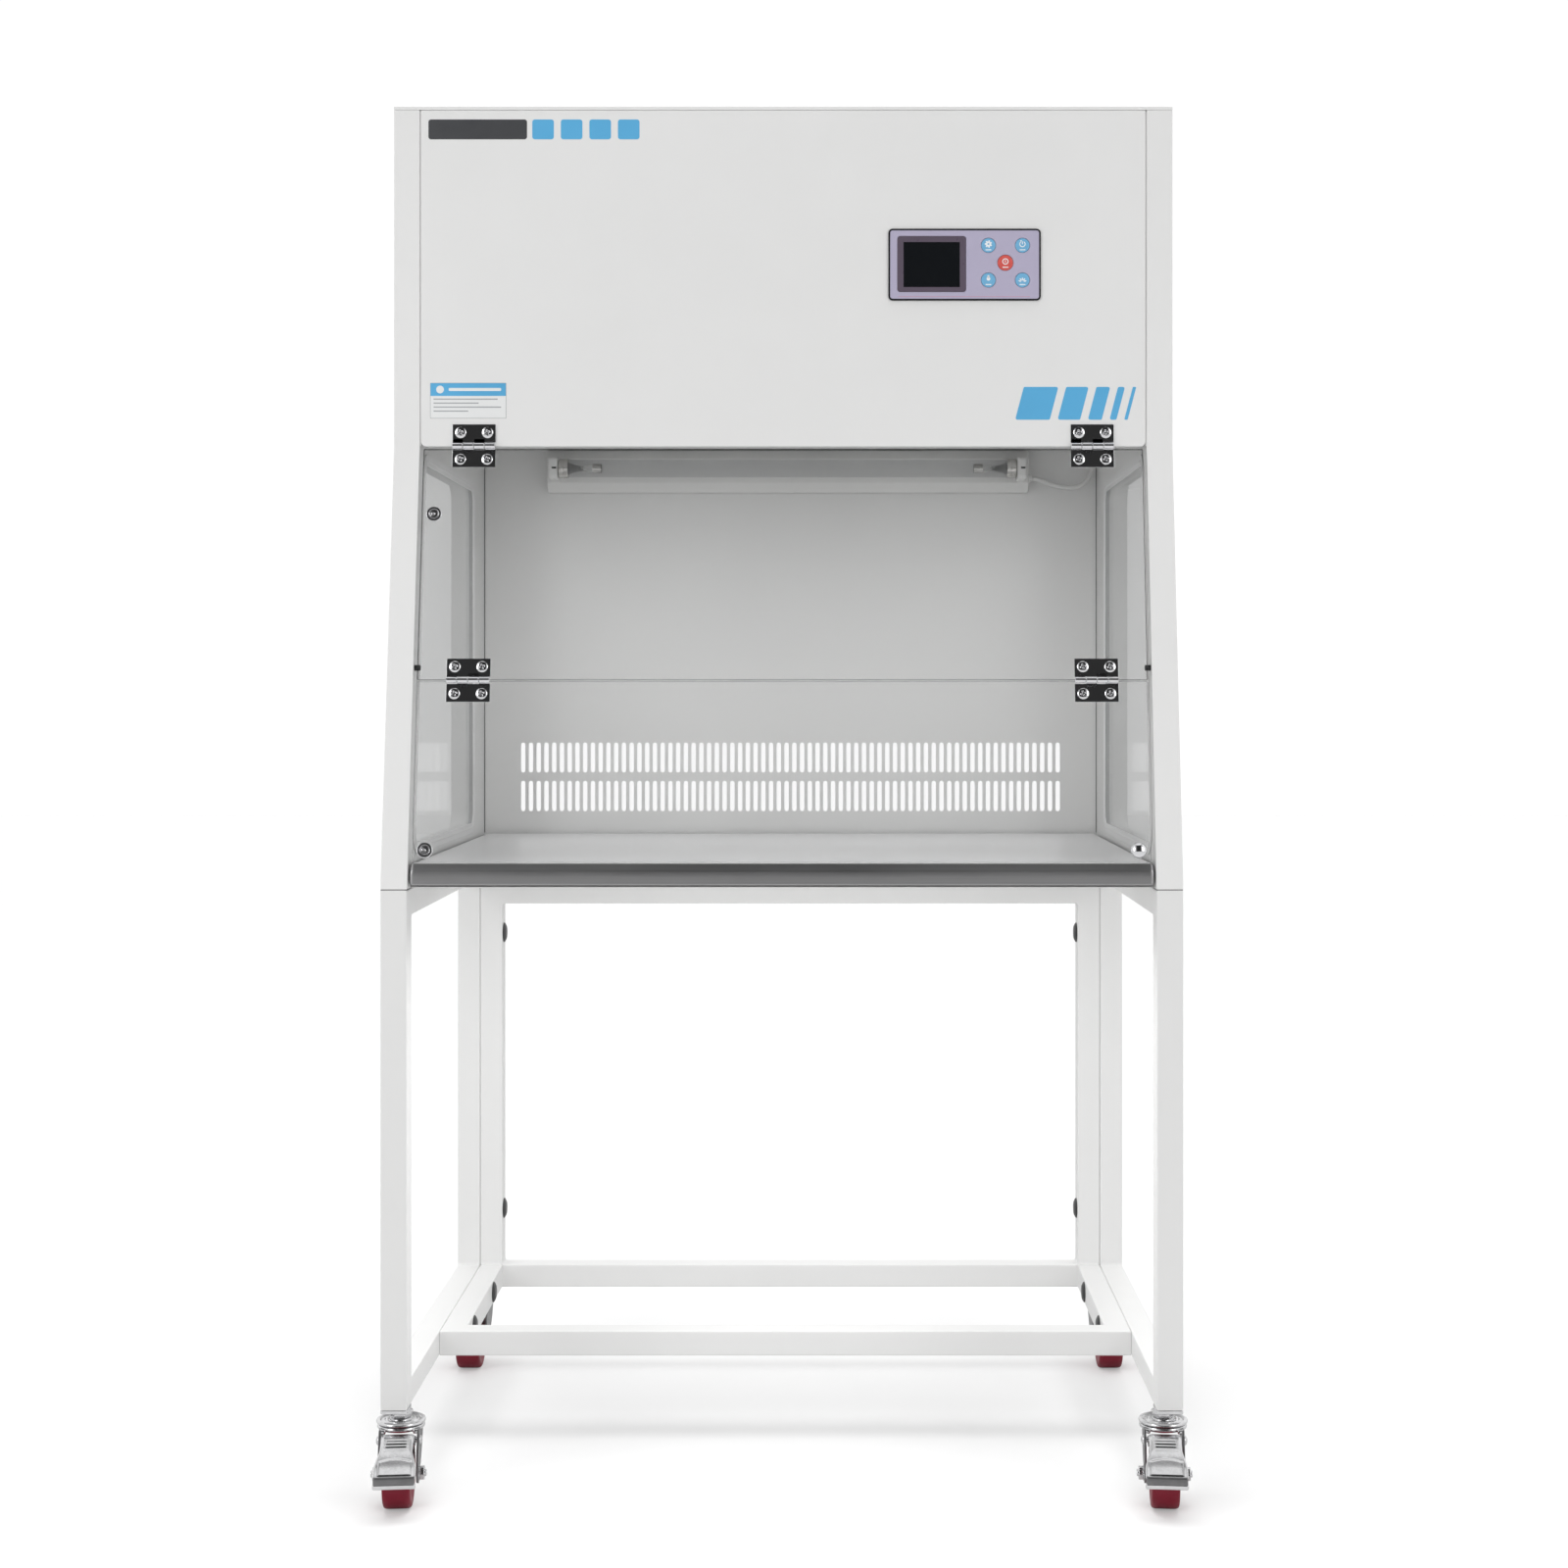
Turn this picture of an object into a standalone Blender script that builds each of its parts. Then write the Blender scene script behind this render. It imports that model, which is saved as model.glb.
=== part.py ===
"""A vertical laminar-flow clean bench on a wheeled tube stand, with a folding clear front sash.

Lengths are metres. In the bench frame, z = 0 is the floor, x = 0 the middle, y = 0 the front face of
the stand's legs, and +Y points to the back. The bench empty shifts that frame so that the world origin
is at the bottom centre of the whole object.
"""

import math

import bmesh
import bpy
from mathutils import Vector

# Driving dimensions
WIDTH = 0.900
DEPTH = 0.600
HEIGHT = 1.585
PEDAL_REACH = 0.075  # brake pedal tips, in front of the legs
GAP = 0.0003  # between pieces that touch
SHEET = 0.0012  # steel sheet

# Stand
TUBE = 0.030
TUBE_WALL = 0.0015
LEG_BOTTOM = 0.103
STAND_TOP = 0.687
STAND_DEPTH = 0.585
CENTRE_FRAME_FRONT = 0.220
CENTRE_FRAME_TOP = 0.6525
BOLT_HOLE_RADIUS = 0.0065
UPRIGHT_BOLT_HEIGHTS = (0.207, 0.582)
FLOOR_RAIL_BOLT_DEPTHS = (0.299, 0.468)

# Casters, about the stem's axis
CASTER_X = 0.4295
CASTER_Y = (0.017, 0.568)
FRONT_CASTER_TURN = math.radians(5)  # how far the front casters point inwards at rest
WHEEL_RADIUS = 0.0375
WHEEL_HALF_WIDTH = 0.016
TRAIL = 0.031
RACEWAY_RADIUS = 0.0275
RACEWAY_TOP = 0.0895
CROWN_BOTTOM = 0.078
CROWN_TOP = 0.0857
CROWN_RADIUS = 0.0265
LOCKNUT_RADIUS = 0.012
LEG_PLUG_TOP = 0.123
AXLE_RADIUS = 0.004
AXLE_HALF_LENGTH = 0.031
AXLE_NUT_RADIUS = 0.0075
AXLE_NUT = (0.0223, 0.0285)  # inner and outer face of its head and nut
CHEEK = (0.020, 0.0225)  # inner and outer face of a fork cheek
PEDAL_PIVOT = (-0.023, 0.072)  # depth and height
PEDAL_PIN_RADIUS = 0.003

# Cabinet
SIDE = 0.030  # thickness of a side panel
INNER = WIDTH / 2 - SIDE
COVER_FRONT = 0.083
COVER_BOTTOM = 1.192
LID_BOTTOM = 1.581
BACK_INNER = 0.5955
BACK_PLATE = 0.0015
WORKTOP_TOP = 0.7155
SLOT_WIDTH = 0.006
SLOT_PITCH = 0.01063
SLOTS_IN_ROW = 70
SLOT_ROWS = ((0.7455, 0.7875), (0.7987, 0.8400))  # bottom and top of each row
WINDOW_CORNER = 0.025
GASKET_SEAT = 0.005  # from the window opening to the pane's edge
PANE = 0.005

# Sash
SASH_TILT = math.atan2(COVER_FRONT, COVER_BOTTOM - STAND_TOP)
KNUCKLE = 0.0035
HINGE_AXIS_Z = 1.1925
HINGE_AXIS_Y = COVER_FRONT - GAP - KNUCKLE
PANEL_FACE = KNUCKLE + GAP  # behind the hinge axes
PANEL_THICKNESS = 0.005
PANEL_HALF_WIDTH = 0.4155
MIDDLE_HINGE = 0.2741  # down the sash from the upper hinge axis
SASH_LENGTH = 0.4814
SASH_TOP_GAP = 0.0025
HINGE_X = 0.357
HINGE_HALF_WIDTH = 0.025
LEAF_LENGTH = 0.025
LEAF = 0.0015
PIN_RADIUS = 0.0015
PIN_BORE = 0.0016
KNUCKLES = 4
CATCH_DISTANCE = 0.1936  # each catch magnet from the middle hinge axis
CATCH_RADIUS = 0.009
CATCH_X = 0.401
STOP_DISTANCE = 0.258  # stop studs, down the sash
STOP_RADIUS = 0.0035

# Controls
PANEL_X = (0.1215, 0.2975)
PANEL_Z = (1.3605, 1.4435)
SCREEN_X = (0.132, 0.211)
SCREEN_Z = (1.3705, 1.4347)
PANEL_FRONT = COVER_FRONT - GAP - 0.0015
BUTTON_RADIUS = 0.009
BUTTON_PROUD = 0.0004
BUTTONS = {
    "fan_button": (0.2370, 1.4242),
    "timer_button": (0.2763, 1.4242),
    "power_button": (0.2566, 1.4041),
    "light_button": (0.2370, 1.3841),
    "sterilise_button": (0.2763, 1.3841),
}

# Air system
DIFFUSER_BOTTOM = 1.240
FILTER = (1.2417, 1.3100)
FILTER_WALL = 0.020
PLEATS = 24
DECK_BOTTOM = 1.330
BLOWER_X = (-0.120, -0.010)
SHAFT = (0.340, 1.450)  # depth and height of the blower's axis
IMPELLER_RADIUS = 0.080
BLADES = 16
SHAFT_RADIUS = 0.006

# Lamp
LAMP_X = -0.003
LAMP_HALF = 0.309
LAMP_RADIUS = 0.012
LAMP_CENTRE = (0.540, 1.2105)
BATTEN_HALF = 0.327
BATTEN_FRONT = 0.560
BATTEN_Z = (1.181, 1.238)
CABLE_RADIUS = 0.00325
CABLE_DEPTH = 0.578
CABLE_ROUTE = (
    (LAMP_X + BATTEN_HALF + GAP, 1.2005),
    (0.338, 1.1995),
    (0.360, 1.1915),
    (0.385, 1.1885),
    (0.403, 1.1960),
    (0.4115, 1.2120),
    (0.4130, 1.2260),
    (0.4130, DIFFUSER_BOTTOM - GAP),
)

INLET = (-0.300, 1.400)  # power inlet on the back panel
INLET_HALF = (0.024, 0.014)
SIDES = (("left", -1), ("right", 1))


# Materials


def finish(name, colour, roughness, metallic=0.0, alpha=1.0):
    """The Principled material of this name, made on first use."""
    made = bpy.data.materials.get(name)
    if made:
        return made
    made = bpy.data.materials.new(name)
    made.use_nodes = True
    shader = made.node_tree.nodes["Principled BSDF"]
    shader.inputs["Base Color"].default_value = (*colour, 1.0)
    shader.inputs["Roughness"].default_value = roughness
    shader.inputs["Metallic"].default_value = metallic
    shader.inputs["Alpha"].default_value = alpha
    return made


def powder_coat():
    return finish("powder_coat", (0.76, 0.76, 0.75), 0.45)


def chrome():
    return finish("chrome", (0.80, 0.80, 0.82), 0.08, metallic=1.0)


def stainless():
    return finish("stainless", (0.62, 0.62, 0.63), 0.28, metallic=1.0)


def galvanised():
    return finish("galvanised", (0.55, 0.56, 0.57), 0.45, metallic=1.0)


def clear_acrylic():
    return finish("clear_acrylic", (0.93, 0.95, 0.95), 0.03, alpha=0.15)


def clear_glass():
    return finish("clear_glass", (0.90, 0.94, 0.93), 0.02, alpha=0.15)


def grey_rubber():
    return finish("grey_rubber", (0.52, 0.53, 0.53), 0.75)


def white_plastic():
    return finish("white_plastic", (0.80, 0.80, 0.79), 0.40)


def black_plastic():
    return finish("black_plastic", (0.02, 0.02, 0.02), 0.45)


# Outlines: lists of 2D points, counter-clockwise


def rectangle(left, bottom, right, top):
    return [Vector(point) for point in ((left, bottom), (right, bottom), (right, top), (left, top))]


def arc(centre, radius, start, end, steps):
    """Points on an arc, with angles in degrees."""
    angles = [math.radians(start + (end - start) * step / steps) for step in range(steps + 1)]
    return [Vector(centre) + radius * Vector((math.cos(a), math.sin(a))) for a in angles]


def circle(centre, radius, steps):
    half_step = 180 / steps
    return arc(centre, radius, half_step, 360 + half_step, steps)[:-1]


def inset(outline, distance):
    """The outline with every side moved inwards by distance."""
    moved = []
    for index, corner in enumerate(outline):
        before, after = outline[index - 1], outline[(index + 1) % len(outline)]
        along_first, along_second = (corner - before).normalized(), (after - corner).normalized()
        inward = Vector((-along_first.y, along_first.x))
        halfway = (inward + Vector((-along_second.y, along_second.x))).normalized()
        moved.append(corner + halfway * distance / halfway.dot(inward))
    return moved


def rounded(outline, radius, steps=3):
    """The outline of a convex shape with an arc at each corner."""
    points = []
    for index, corner in enumerate(outline):
        to_before = (outline[index - 1] - corner).normalized()
        to_after = (outline[(index + 1) % len(outline)] - corner).normalized()
        half = to_before.angle(to_after) / 2
        centre = corner + (to_before + to_after).normalized() * radius / math.sin(half)
        first = corner + to_before * radius / math.tan(half) - centre
        start = math.degrees(math.atan2(first.y, first.x))
        points += arc(centre, radius, start, start + 180 - math.degrees(2 * half), steps)
    return points


# Solids: closed bmeshes, in the frame of the object that will hold them


def placed(axis, first, second, along):
    """A point of the plane across axis, at this distance along it: (y, z), (x, z) or (x, y)."""
    return {
        "x": (along, first, second),
        "y": (first, along, second),
        "z": (first, second, along),
    }[axis]


def prism(outline, axis, low, high, holes=()):
    """The outline, less its holes, swept along axis from low to high."""
    low, high = sorted((low, high))
    solid = bmesh.new()
    loops = []
    for points in (outline, *holes):
        corners = [solid.verts.new(placed(axis, *point, low)) for point in points]
        loops += [solid.edges.new(pair) for pair in zip(corners, corners[1:] + corners[:1])]
    direction = Vector(placed(axis, 0, 0, 1))
    bmesh.ops.triangle_fill(solid, edges=loops, use_beauty=True, normal=direction)
    swept = bmesh.ops.extrude_face_region(solid, geom=solid.faces[:])
    top = [item for item in swept["geom"] if isinstance(item, bmesh.types.BMVert)]
    bmesh.ops.translate(solid, verts=top, vec=direction * (high - low))
    bmesh.ops.recalc_face_normals(solid, faces=solid.faces)
    return solid


def block(low, high):
    """An upright box between two corners."""
    (left, front, bottom), (right, back, top) = low, high
    return prism(rectangle(left, front, right, back), "z", bottom, top)


def cylinder(axis, centre, radius, low, high, steps=12):
    return prism(circle(centre, radius, steps), axis, low, high)


def turned(profile, axis, centre=(0, 0), steps=16):
    """A closed profile of (radius, distance along axis) points, turned about the axis through centre.

    A profile that begins and ends on the axis makes a solid body, any other a ring.
    """
    solid = bmesh.new()
    on_axis = profile[0][0] == 0
    rings = []
    for radius, along in profile:
        around = circle(centre, radius, steps) if radius else [Vector(centre)]
        rings.append([solid.verts.new(placed(axis, *point, along)) for point in around])
    pairs = list(zip(rings, rings[1:]))
    if not on_axis:
        pairs.append((rings[-1], rings[0]))
    for first, second in pairs:
        for step in range(steps):
            corners = [ring[k % len(ring)] for ring, k in (
                (first, step), (first, step + 1), (second, step + 1), (second, step))]
            solid.faces.new(dict.fromkeys(corners))
    bmesh.ops.recalc_face_normals(solid, faces=solid.faces)
    return solid


def strap(stations, thickness):
    """A bent strip along (depth, height, half width) stations, its thickness under the path."""
    path = [Vector(station[:2]) for station in stations]
    solid = bmesh.new()
    rings = []
    for index, (depth, height, half) in enumerate(stations):
        along = path[min(index + 1, len(path) - 1)] - path[max(index - 1, 0)]
        under = Vector((-along.y, along.x)).normalized() * thickness
        corners = ((half, 0), (-half, 0), (-half, 1), (half, 1))
        rings.append(
            [solid.verts.new((x, depth + under.x * k, height + under.y * k)) for x, k in corners]
        )
    for first, second in zip(rings, rings[1:]):
        for k in range(4):
            solid.faces.new((first[k], first[(k + 1) % 4], second[(k + 1) % 4], second[k]))
    solid.faces.new(rings[0])
    solid.faces.new(rings[-1])
    bmesh.ops.recalc_face_normals(solid, faces=solid.faces)
    return solid


# Objects


def new_object(name, solid, parent):
    mesh = bpy.data.meshes.new(name)
    solid.to_mesh(mesh)
    solid.free()
    made = bpy.data.objects.new(name, mesh)
    bpy.context.scene.collection.objects.link(made)
    made.parent = parent
    return made


def add(name, solid, material, parent, joins=(), cuts=(), smooth=False):
    """The node: a solid, united with each of joins, less each of cuts."""
    node = new_object(name, solid, parent)
    node.data.materials.append(material)
    for operation, others in (("UNION", joins), ("DIFFERENCE", cuts)):
        for other in others:
            helper = new_object(f"helper.{name}", other, parent)
            helper.hide_render = True
            helper.display_type = "WIRE"
            boolean = node.modifiers.new(operation.title(), "BOOLEAN")
            boolean.operation = operation
            boolean.solver = "EXACT"
            boolean.object = helper
    if smooth:
        node.data.shade_smooth()
        node.data.set_sharp_from_angle(angle=math.radians(35))
    return node


def pivot(name, parent, location, tilt=0.0, turn=0.0):
    """An empty on a joint's axis, leaned back by tilt or turned about the vertical by turn."""
    made = bpy.data.objects.new(name, None)
    bpy.context.scene.collection.objects.link(made)
    made.parent = parent
    made.location = location
    made.rotation_euler = (-tilt, 0, turn)
    return made


# Stand


def make_side_frame(bench, side, sign):
    """A welded ring of square tube, open where the caster plugs go into its legs."""
    outline = rectangle(0, LEG_BOTTOM, STAND_DEPTH, STAND_TOP - GAP)
    hole = inset(outline, TUBE)
    outer, inner = sign * WIDTH / 2, sign * INNER
    tube = prism(outline, "x", inner, outer, [hole])
    wall = sign * TUBE_WALL
    bore = prism(
        inset(outline, TUBE_WALL), "x", inner + wall, outer - wall, [inset(hole, -TUBE_WALL)]
    )
    feet = [
        block(
            (min(inner + wall, outer - wall), front + TUBE_WALL, LEG_BOTTOM - TUBE_WALL),
            (max(inner + wall, outer - wall), front + TUBE - TUBE_WALL, LEG_BOTTOM + 2 * TUBE_WALL),
        )
        for front in (0, STAND_DEPTH - TUBE)
    ]
    add(f"stand_side_frame_{side}", tube, powder_coat(), bench, cuts=[bore, *feet])


def make_centre_frame(bench):
    """An upright ring and a floor ring of square tube that share the low rear bar."""
    half = INNER - GAP
    back = STAND_DEPTH - TUBE
    floor_ring = rectangle(-half, CENTRE_FRAME_FRONT, half, STAND_DEPTH)
    back_ring = rectangle(-half, LEG_BOTTOM, half, CENTRE_FRAME_TOP)

    def ring(outline, axis, low, wall):
        return prism(
            inset(outline, wall), axis, low + wall, low + TUBE - wall, [inset(outline, TUBE - wall)]
        )

    bolt_holes = [(back + TUBE / 2, height) for height in UPRIGHT_BOLT_HEIGHTS]
    bolt_holes += [(depth, LEG_BOTTOM + TUBE / 2) for depth in FLOOR_RAIL_BOLT_DEPTHS]
    reach = half - TUBE + 3 * TUBE_WALL
    add(
        "stand_centre_frame",
        ring(back_ring, "y", back, 0),
        powder_coat(),
        bench,
        joins=[ring(floor_ring, "z", LEG_BOTTOM, 0)],
        cuts=[ring(back_ring, "y", back, TUBE_WALL), ring(floor_ring, "z", LEG_BOTTOM, TUBE_WALL)]
        + [cylinder("x", hole, BOLT_HOLE_RADIUS, -reach, reach, 8) for hole in bolt_holes],
    )


# Casters


def make_mount(place, stem, sign, stem_depth, leg_centre_depth):
    """Leg plug, locknut, upper raceway and kingpin, turned in one piece."""
    head, pin, nut = 0.008, 0.005, LOCKNUT_RADIUS
    profile = (
        (0, 0.074),
        (head, 0.074),
        (head, CROWN_BOTTOM - GAP),
        (pin, CROWN_BOTTOM - GAP),
        (pin, CROWN_TOP + GAP),
        (RACEWAY_RADIUS, CROWN_TOP + GAP),
        (RACEWAY_RADIUS, RACEWAY_TOP),
        (nut, RACEWAY_TOP + 0.005),
        (nut, LEG_BOTTOM - GAP),
        (0, LEG_BOTTOM - GAP),
    )
    across = sign * ((WIDTH - TUBE) / 2 - CASTER_X)
    back = leg_centre_depth - stem_depth
    half = TUBE / 2 - TUBE_WALL - GAP
    plug = block(
        (across - half, back - half, LEG_BOTTOM - 2 * GAP),
        (across + half, back + half, LEG_PLUG_TOP),
    )
    add(
        f"caster_mount_{place}",
        turned(profile, "z"),
        chrome(),
        stem,
        joins=[plug],
        smooth=True,
    )


def make_fork(place, swivel, braked):
    """Crown, two cheeks and the axle bolt with its head and nut."""
    bore = 0.00515
    section = [(bore, CROWN_BOTTOM), (CROWN_RADIUS, CROWN_BOTTOM), (CROWN_RADIUS, CROWN_TOP)]
    crown = turned(section + [(bore, CROWN_TOP)], "z")
    axle_centre = (-TRAIL, WHEEL_RADIUS)
    cheek = [Vector((0.024, 0.0852)), Vector((-0.027, 0.0852))]
    cheek += arc(axle_centre, 0.011, 180, 320, 5) + [Vector((0.024, 0.070))]
    joins = [cylinder("x", axle_centre, AXLE_RADIUS, -AXLE_HALF_LENGTH, AXLE_HALF_LENGTH)]
    for _, sign in SIDES:
        joins.append(prism(cheek, "x", sign * CHEEK[0], sign * CHEEK[1]))
        inside, outside = (sign * face for face in AXLE_NUT)
        joins.append(cylinder("x", axle_centre, AXLE_NUT_RADIUS, inside, outside, 6))
    cuts = []
    if braked:
        cuts.append(cylinder("x", PEDAL_PIVOT, PEDAL_PIN_RADIUS + 0.0002, -0.026, 0.026))
    add(f"caster_fork_{place}", crown, chrome(), swivel, joins=joins, cuts=cuts)


def make_wheel(place, axle):
    """A wheel whose flats touch the tread's circle, so that it stands on one of them."""
    steps = 24
    tread = WHEEL_RADIUS / math.cos(math.pi / steps)
    bore, hub, rim = AXLE_RADIUS + 0.0002, 0.012, tread - 0.0015
    half = [(bore, 0.017), (hub, 0.017), (rim, WHEEL_HALF_WIDTH), (tread, 0.0135)]
    profile = half + [(radius, -along) for radius, along in reversed(half)]
    red = finish("red_polyurethane", (0.30, 0.012, 0.025), 0.35)
    add(f"caster_wheel_{place}", turned(profile, "x", steps=steps), red, axle, smooth=True)


def make_pedal(place, hinge):
    """A bent steel pedal with two flanges, each riveted to a fork cheek."""
    lip = 0.0235  # half its width
    from_stem = PEDAL_REACH + CASTER_Y[0] - lip * math.sin(FRONT_CASTER_TURN)
    reach = from_stem / math.cos(FRONT_CASTER_TURN) + PEDAL_PIVOT[0]
    stations = (
        (-0.012, 0.010, 0.0170),
        (-0.028, 0.009, 0.0175),
        (-0.046, 0.000, 0.0180),
        (-0.060, -0.017, 0.0225),
        (-reach, -0.022, lip),
        (-reach, -0.034, lip),
    )
    flange = [(-0.014, 0.009), (-0.028, 0.008), (-0.010, -0.005), (0.005, -0.005), (0.005, 0.003)]
    outline = [Vector(point) for point in flange]
    joins = []
    for _, sign in SIDES:
        joins.append(prism(outline, "x", sign * 0.0164, sign * 0.0179))
        joins.append(cylinder("x", (0, 0), PEDAL_PIN_RADIUS, sign * 0.0170, sign * 0.0240))
        joins.append(cylinder("x", (0, 0), 0.005, sign * (CHEEK[1] + GAP), sign * 0.0255, 10))
    add(f"brake_pedal_{place}", strap(stations, 0.002), chrome(), hinge, joins=joins)


def make_caster(bench, row, side, sign):
    place = f"{row}_{side}"
    depth = CASTER_Y[row == "rear"]
    leg_centre = TUBE / 2 if row == "front" else STAND_DEPTH - TUBE / 2
    turn = -sign * FRONT_CASTER_TURN if row == "front" else 0
    stem = pivot(f"stem.{place}", bench, (sign * CASTER_X, depth, 0))
    swivel = pivot(f"swivel.{place}", stem, (0, 0, 0), turn=turn)
    axle = pivot(f"axle.{place}", swivel, (0, -TRAIL, WHEEL_RADIUS))
    make_mount(place, stem, sign, depth, leg_centre)
    make_fork(place, swivel, braked=row == "front")
    make_wheel(place, axle)
    if row == "front":
        make_pedal(place, pivot(f"pedal.{place}", swivel, (0, *PEDAL_PIVOT)))


# Cabinet


def side_profile():
    """A side panel's outline across X, with the sloping front edge that the sash lies along."""
    corners = (
        (0, STAND_TOP),
        (DEPTH, STAND_TOP),
        (DEPTH, LID_BOTTOM - GAP),
        (COVER_FRONT, LID_BOTTOM - GAP),
        (COVER_FRONT, COVER_BOTTOM),
    )
    return [Vector(corner) for corner in corners]


def window_outline():
    """The window opening, its front edge parallel to the sloping edge."""
    bottom, top, back, border = 0.728, 1.182, 0.497, 0.030
    slope = math.tan(SASH_TILT)
    front = [border / math.cos(SASH_TILT) + slope * (z - STAND_TOP) for z in (bottom, top)]
    return [Vector(p) for p in ((front[0], bottom), (back, bottom), (back, top), (front[1], top))]


def stop_stud_centre():
    """Just behind the upper clear panel, which rests on it."""
    behind = PANEL_FACE + PANEL_THICKNESS + GAP + STOP_RADIUS
    return (
        HINGE_AXIS_Y - STOP_DISTANCE * math.sin(SASH_TILT) + behind * math.cos(SASH_TILT),
        HINGE_AXIS_Z - STOP_DISTANCE * math.cos(SASH_TILT) - behind * math.sin(SASH_TILT),
    )


def make_side_panel(bench, side, sign):
    """A hollow sheet box, open underneath, with a lined window opening and a stop stud."""
    profile, window = side_profile(), rounded(window_outline(), WINDOW_CORNER)
    inner, outer = sign * INNER, sign * WIDTH / 2
    skin = sign * SHEET
    hollow = inset(profile, SHEET)
    hollow[0].y = hollow[1].y = STAND_TOP - SHEET
    add(
        f"side_panel_{side}",
        prism(profile, "x", inner, outer, [window]),
        powder_coat(),
        bench,
        joins=[cylinder("x", stop_stud_centre(), STOP_RADIUS, sign * 0.4135, inner + skin / 2, 10)],
        cuts=[prism(hollow, "x", inner + skin, outer - skin, [inset(window, -SHEET)])],
    )


def make_window(bench, side, sign):
    """The glass pane and the rubber gasket that seats it in the panel's inner side."""
    opening = window_outline()
    pane_front = INNER + GAP
    pane = rounded(inset(opening, GASKET_SEAT + GAP), WINDOW_CORNER - GASKET_SEAT)
    add(
        f"side_window_{side}",
        prism(pane, "x", sign * pane_front, sign * (pane_front + PANE)),
        clear_glass(),
        bench,
    )
    lip_outer = rounded(inset(opening, -0.006), WINDOW_CORNER + 0.006)
    lip_inner = rounded(inset(opening, 0.008), WINDOW_CORNER - 0.008)
    seat_outer = rounded(inset(opening, GAP), WINDOW_CORNER - GAP)
    seat_inner = rounded(inset(opening, GASKET_SEAT), WINDOW_CORNER - GASKET_SEAT)
    lip_face, lip_back = sign * (INNER - 0.0013), sign * (INNER - GAP)
    seat = prism(seat_outer, "x", sign * (INNER - 0.0008), sign * (INNER + 0.009), [seat_inner])
    add(
        f"window_gasket_{side}",
        prism(lip_outer, "x", lip_face, lip_back, [lip_inner]),
        grey_rubber(),
        bench,
        joins=[seat],
    )


def make_back_panel(bench):
    """Sheet with two rows of upright slots behind the chamber and a cut-out for the power inlet."""
    half = INNER - GAP
    first = -SLOT_PITCH * (SLOTS_IN_ROW - 1) / 2
    holes = [
        rectangle(x - SLOT_WIDTH / 2, bottom, x + SLOT_WIDTH / 2, top)
        for bottom, top in SLOT_ROWS
        for x in (first + SLOT_PITCH * step for step in range(SLOTS_IN_ROW))
    ]
    (x, z), (half_x, half_z) = INLET, INLET_HALF
    holes.append(rectangle(x - half_x, z - half_z, x + half_x, z + half_z))
    outline = rectangle(-half, STAND_TOP + GAP, half, LID_BOTTOM - GAP)
    sheet = prism(outline, "y", BACK_INNER, BACK_INNER + BACK_PLATE, holes)
    add("back_panel", sheet, powder_coat(), bench)


def make_power_inlet(bench):
    (x, z), (half_x, half_z) = INLET, INLET_HALF
    body = block(
        (x - half_x + GAP, 0.565, z - half_z + GAP),
        (x + half_x - GAP, 0.5985, z + half_z - GAP),
    )
    back = BACK_INNER + BACK_PLATE
    flange = block((x - 0.029, back + GAP, z - 0.019), (x + 0.029, DEPTH - GAP, z + 0.019))
    socket = block((x - 0.012, 0.584, z - 0.008), (x + 0.012, DEPTH + GAP, z + 0.008))
    add("power_inlet", body, black_plastic(), bench, joins=[flange], cuts=[socket])


def make_lid(bench):
    """A shallow tray, upside down, with a grille of intake slots."""
    half = WIDTH / 2
    outline = rectangle(-half, COVER_FRONT, half, DEPTH)
    slots = [
        rectangle(x - 0.004, 0.250, x + 0.004, 0.430) for x in (-0.165 + 0.030 * k for k in range(12))
    ]
    plate = prism(outline, "z", HEIGHT - SHEET, HEIGHT, slots)
    rim = prism(outline, "z", LID_BOTTOM, HEIGHT - SHEET / 2, [inset(outline, SHEET)])
    add("top_panel", plate, powder_coat(), bench, joins=[rim])


def make_front_cover(bench):
    """A sheet tray, open to the back, with a cut-out behind the controls."""
    half, top, depth = 0.4185, LID_BOTTOM - GAP, 0.018
    cutout = rectangle(PANEL_X[0] + 0.004, PANEL_Z[0] + 0.004, PANEL_X[1] - 0.004, PANEL_Z[1] - 0.004)
    outline = rectangle(-half, COVER_BOTTOM, half, top)
    face = prism(outline, "y", COVER_FRONT, COVER_FRONT + SHEET, [cutout])
    flanges = prism(
        outline, "y", COVER_FRONT + SHEET / 2, COVER_FRONT + depth, [inset(outline, SHEET)]
    )
    add("front_cover", face, powder_coat(), bench, joins=[flanges])


def make_base(bench):
    """The bottom pan and, on it, the stainless worktop with its folded nose."""
    half = INNER - GAP
    pan_top = STAND_TOP + GAP + SHEET
    pan = block((-half, 0.022, STAND_TOP + GAP), (half, BACK_INNER - GAP, pan_top))
    add("base_pan", pan, powder_coat(), bench)
    back, hem = 0.590, 0.691
    nose = [Vector((back, pan_top + GAP)), Vector((back, WORKTOP_TOP))]
    nose += arc((0.0135, WORKTOP_TOP - 0.009), 0.009, 90, 165, 4)
    nose += [Vector((0.0040, hem)), Vector((0.0170, hem))]
    inner_side = [Vector((0.0170, hem + SHEET)), Vector((0.0040 + SHEET, hem + SHEET))]
    inner_side += arc((0.0135, WORKTOP_TOP - 0.009), 0.009 - SHEET, 165, 90, 4)
    inner_side += [Vector((back - SHEET, WORKTOP_TOP - SHEET)), Vector((back - SHEET, pan_top + GAP))]
    add("worktop", prism(nose + inner_side, "x", -0.4175, 0.4175), stainless(), bench)


# Air system


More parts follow.
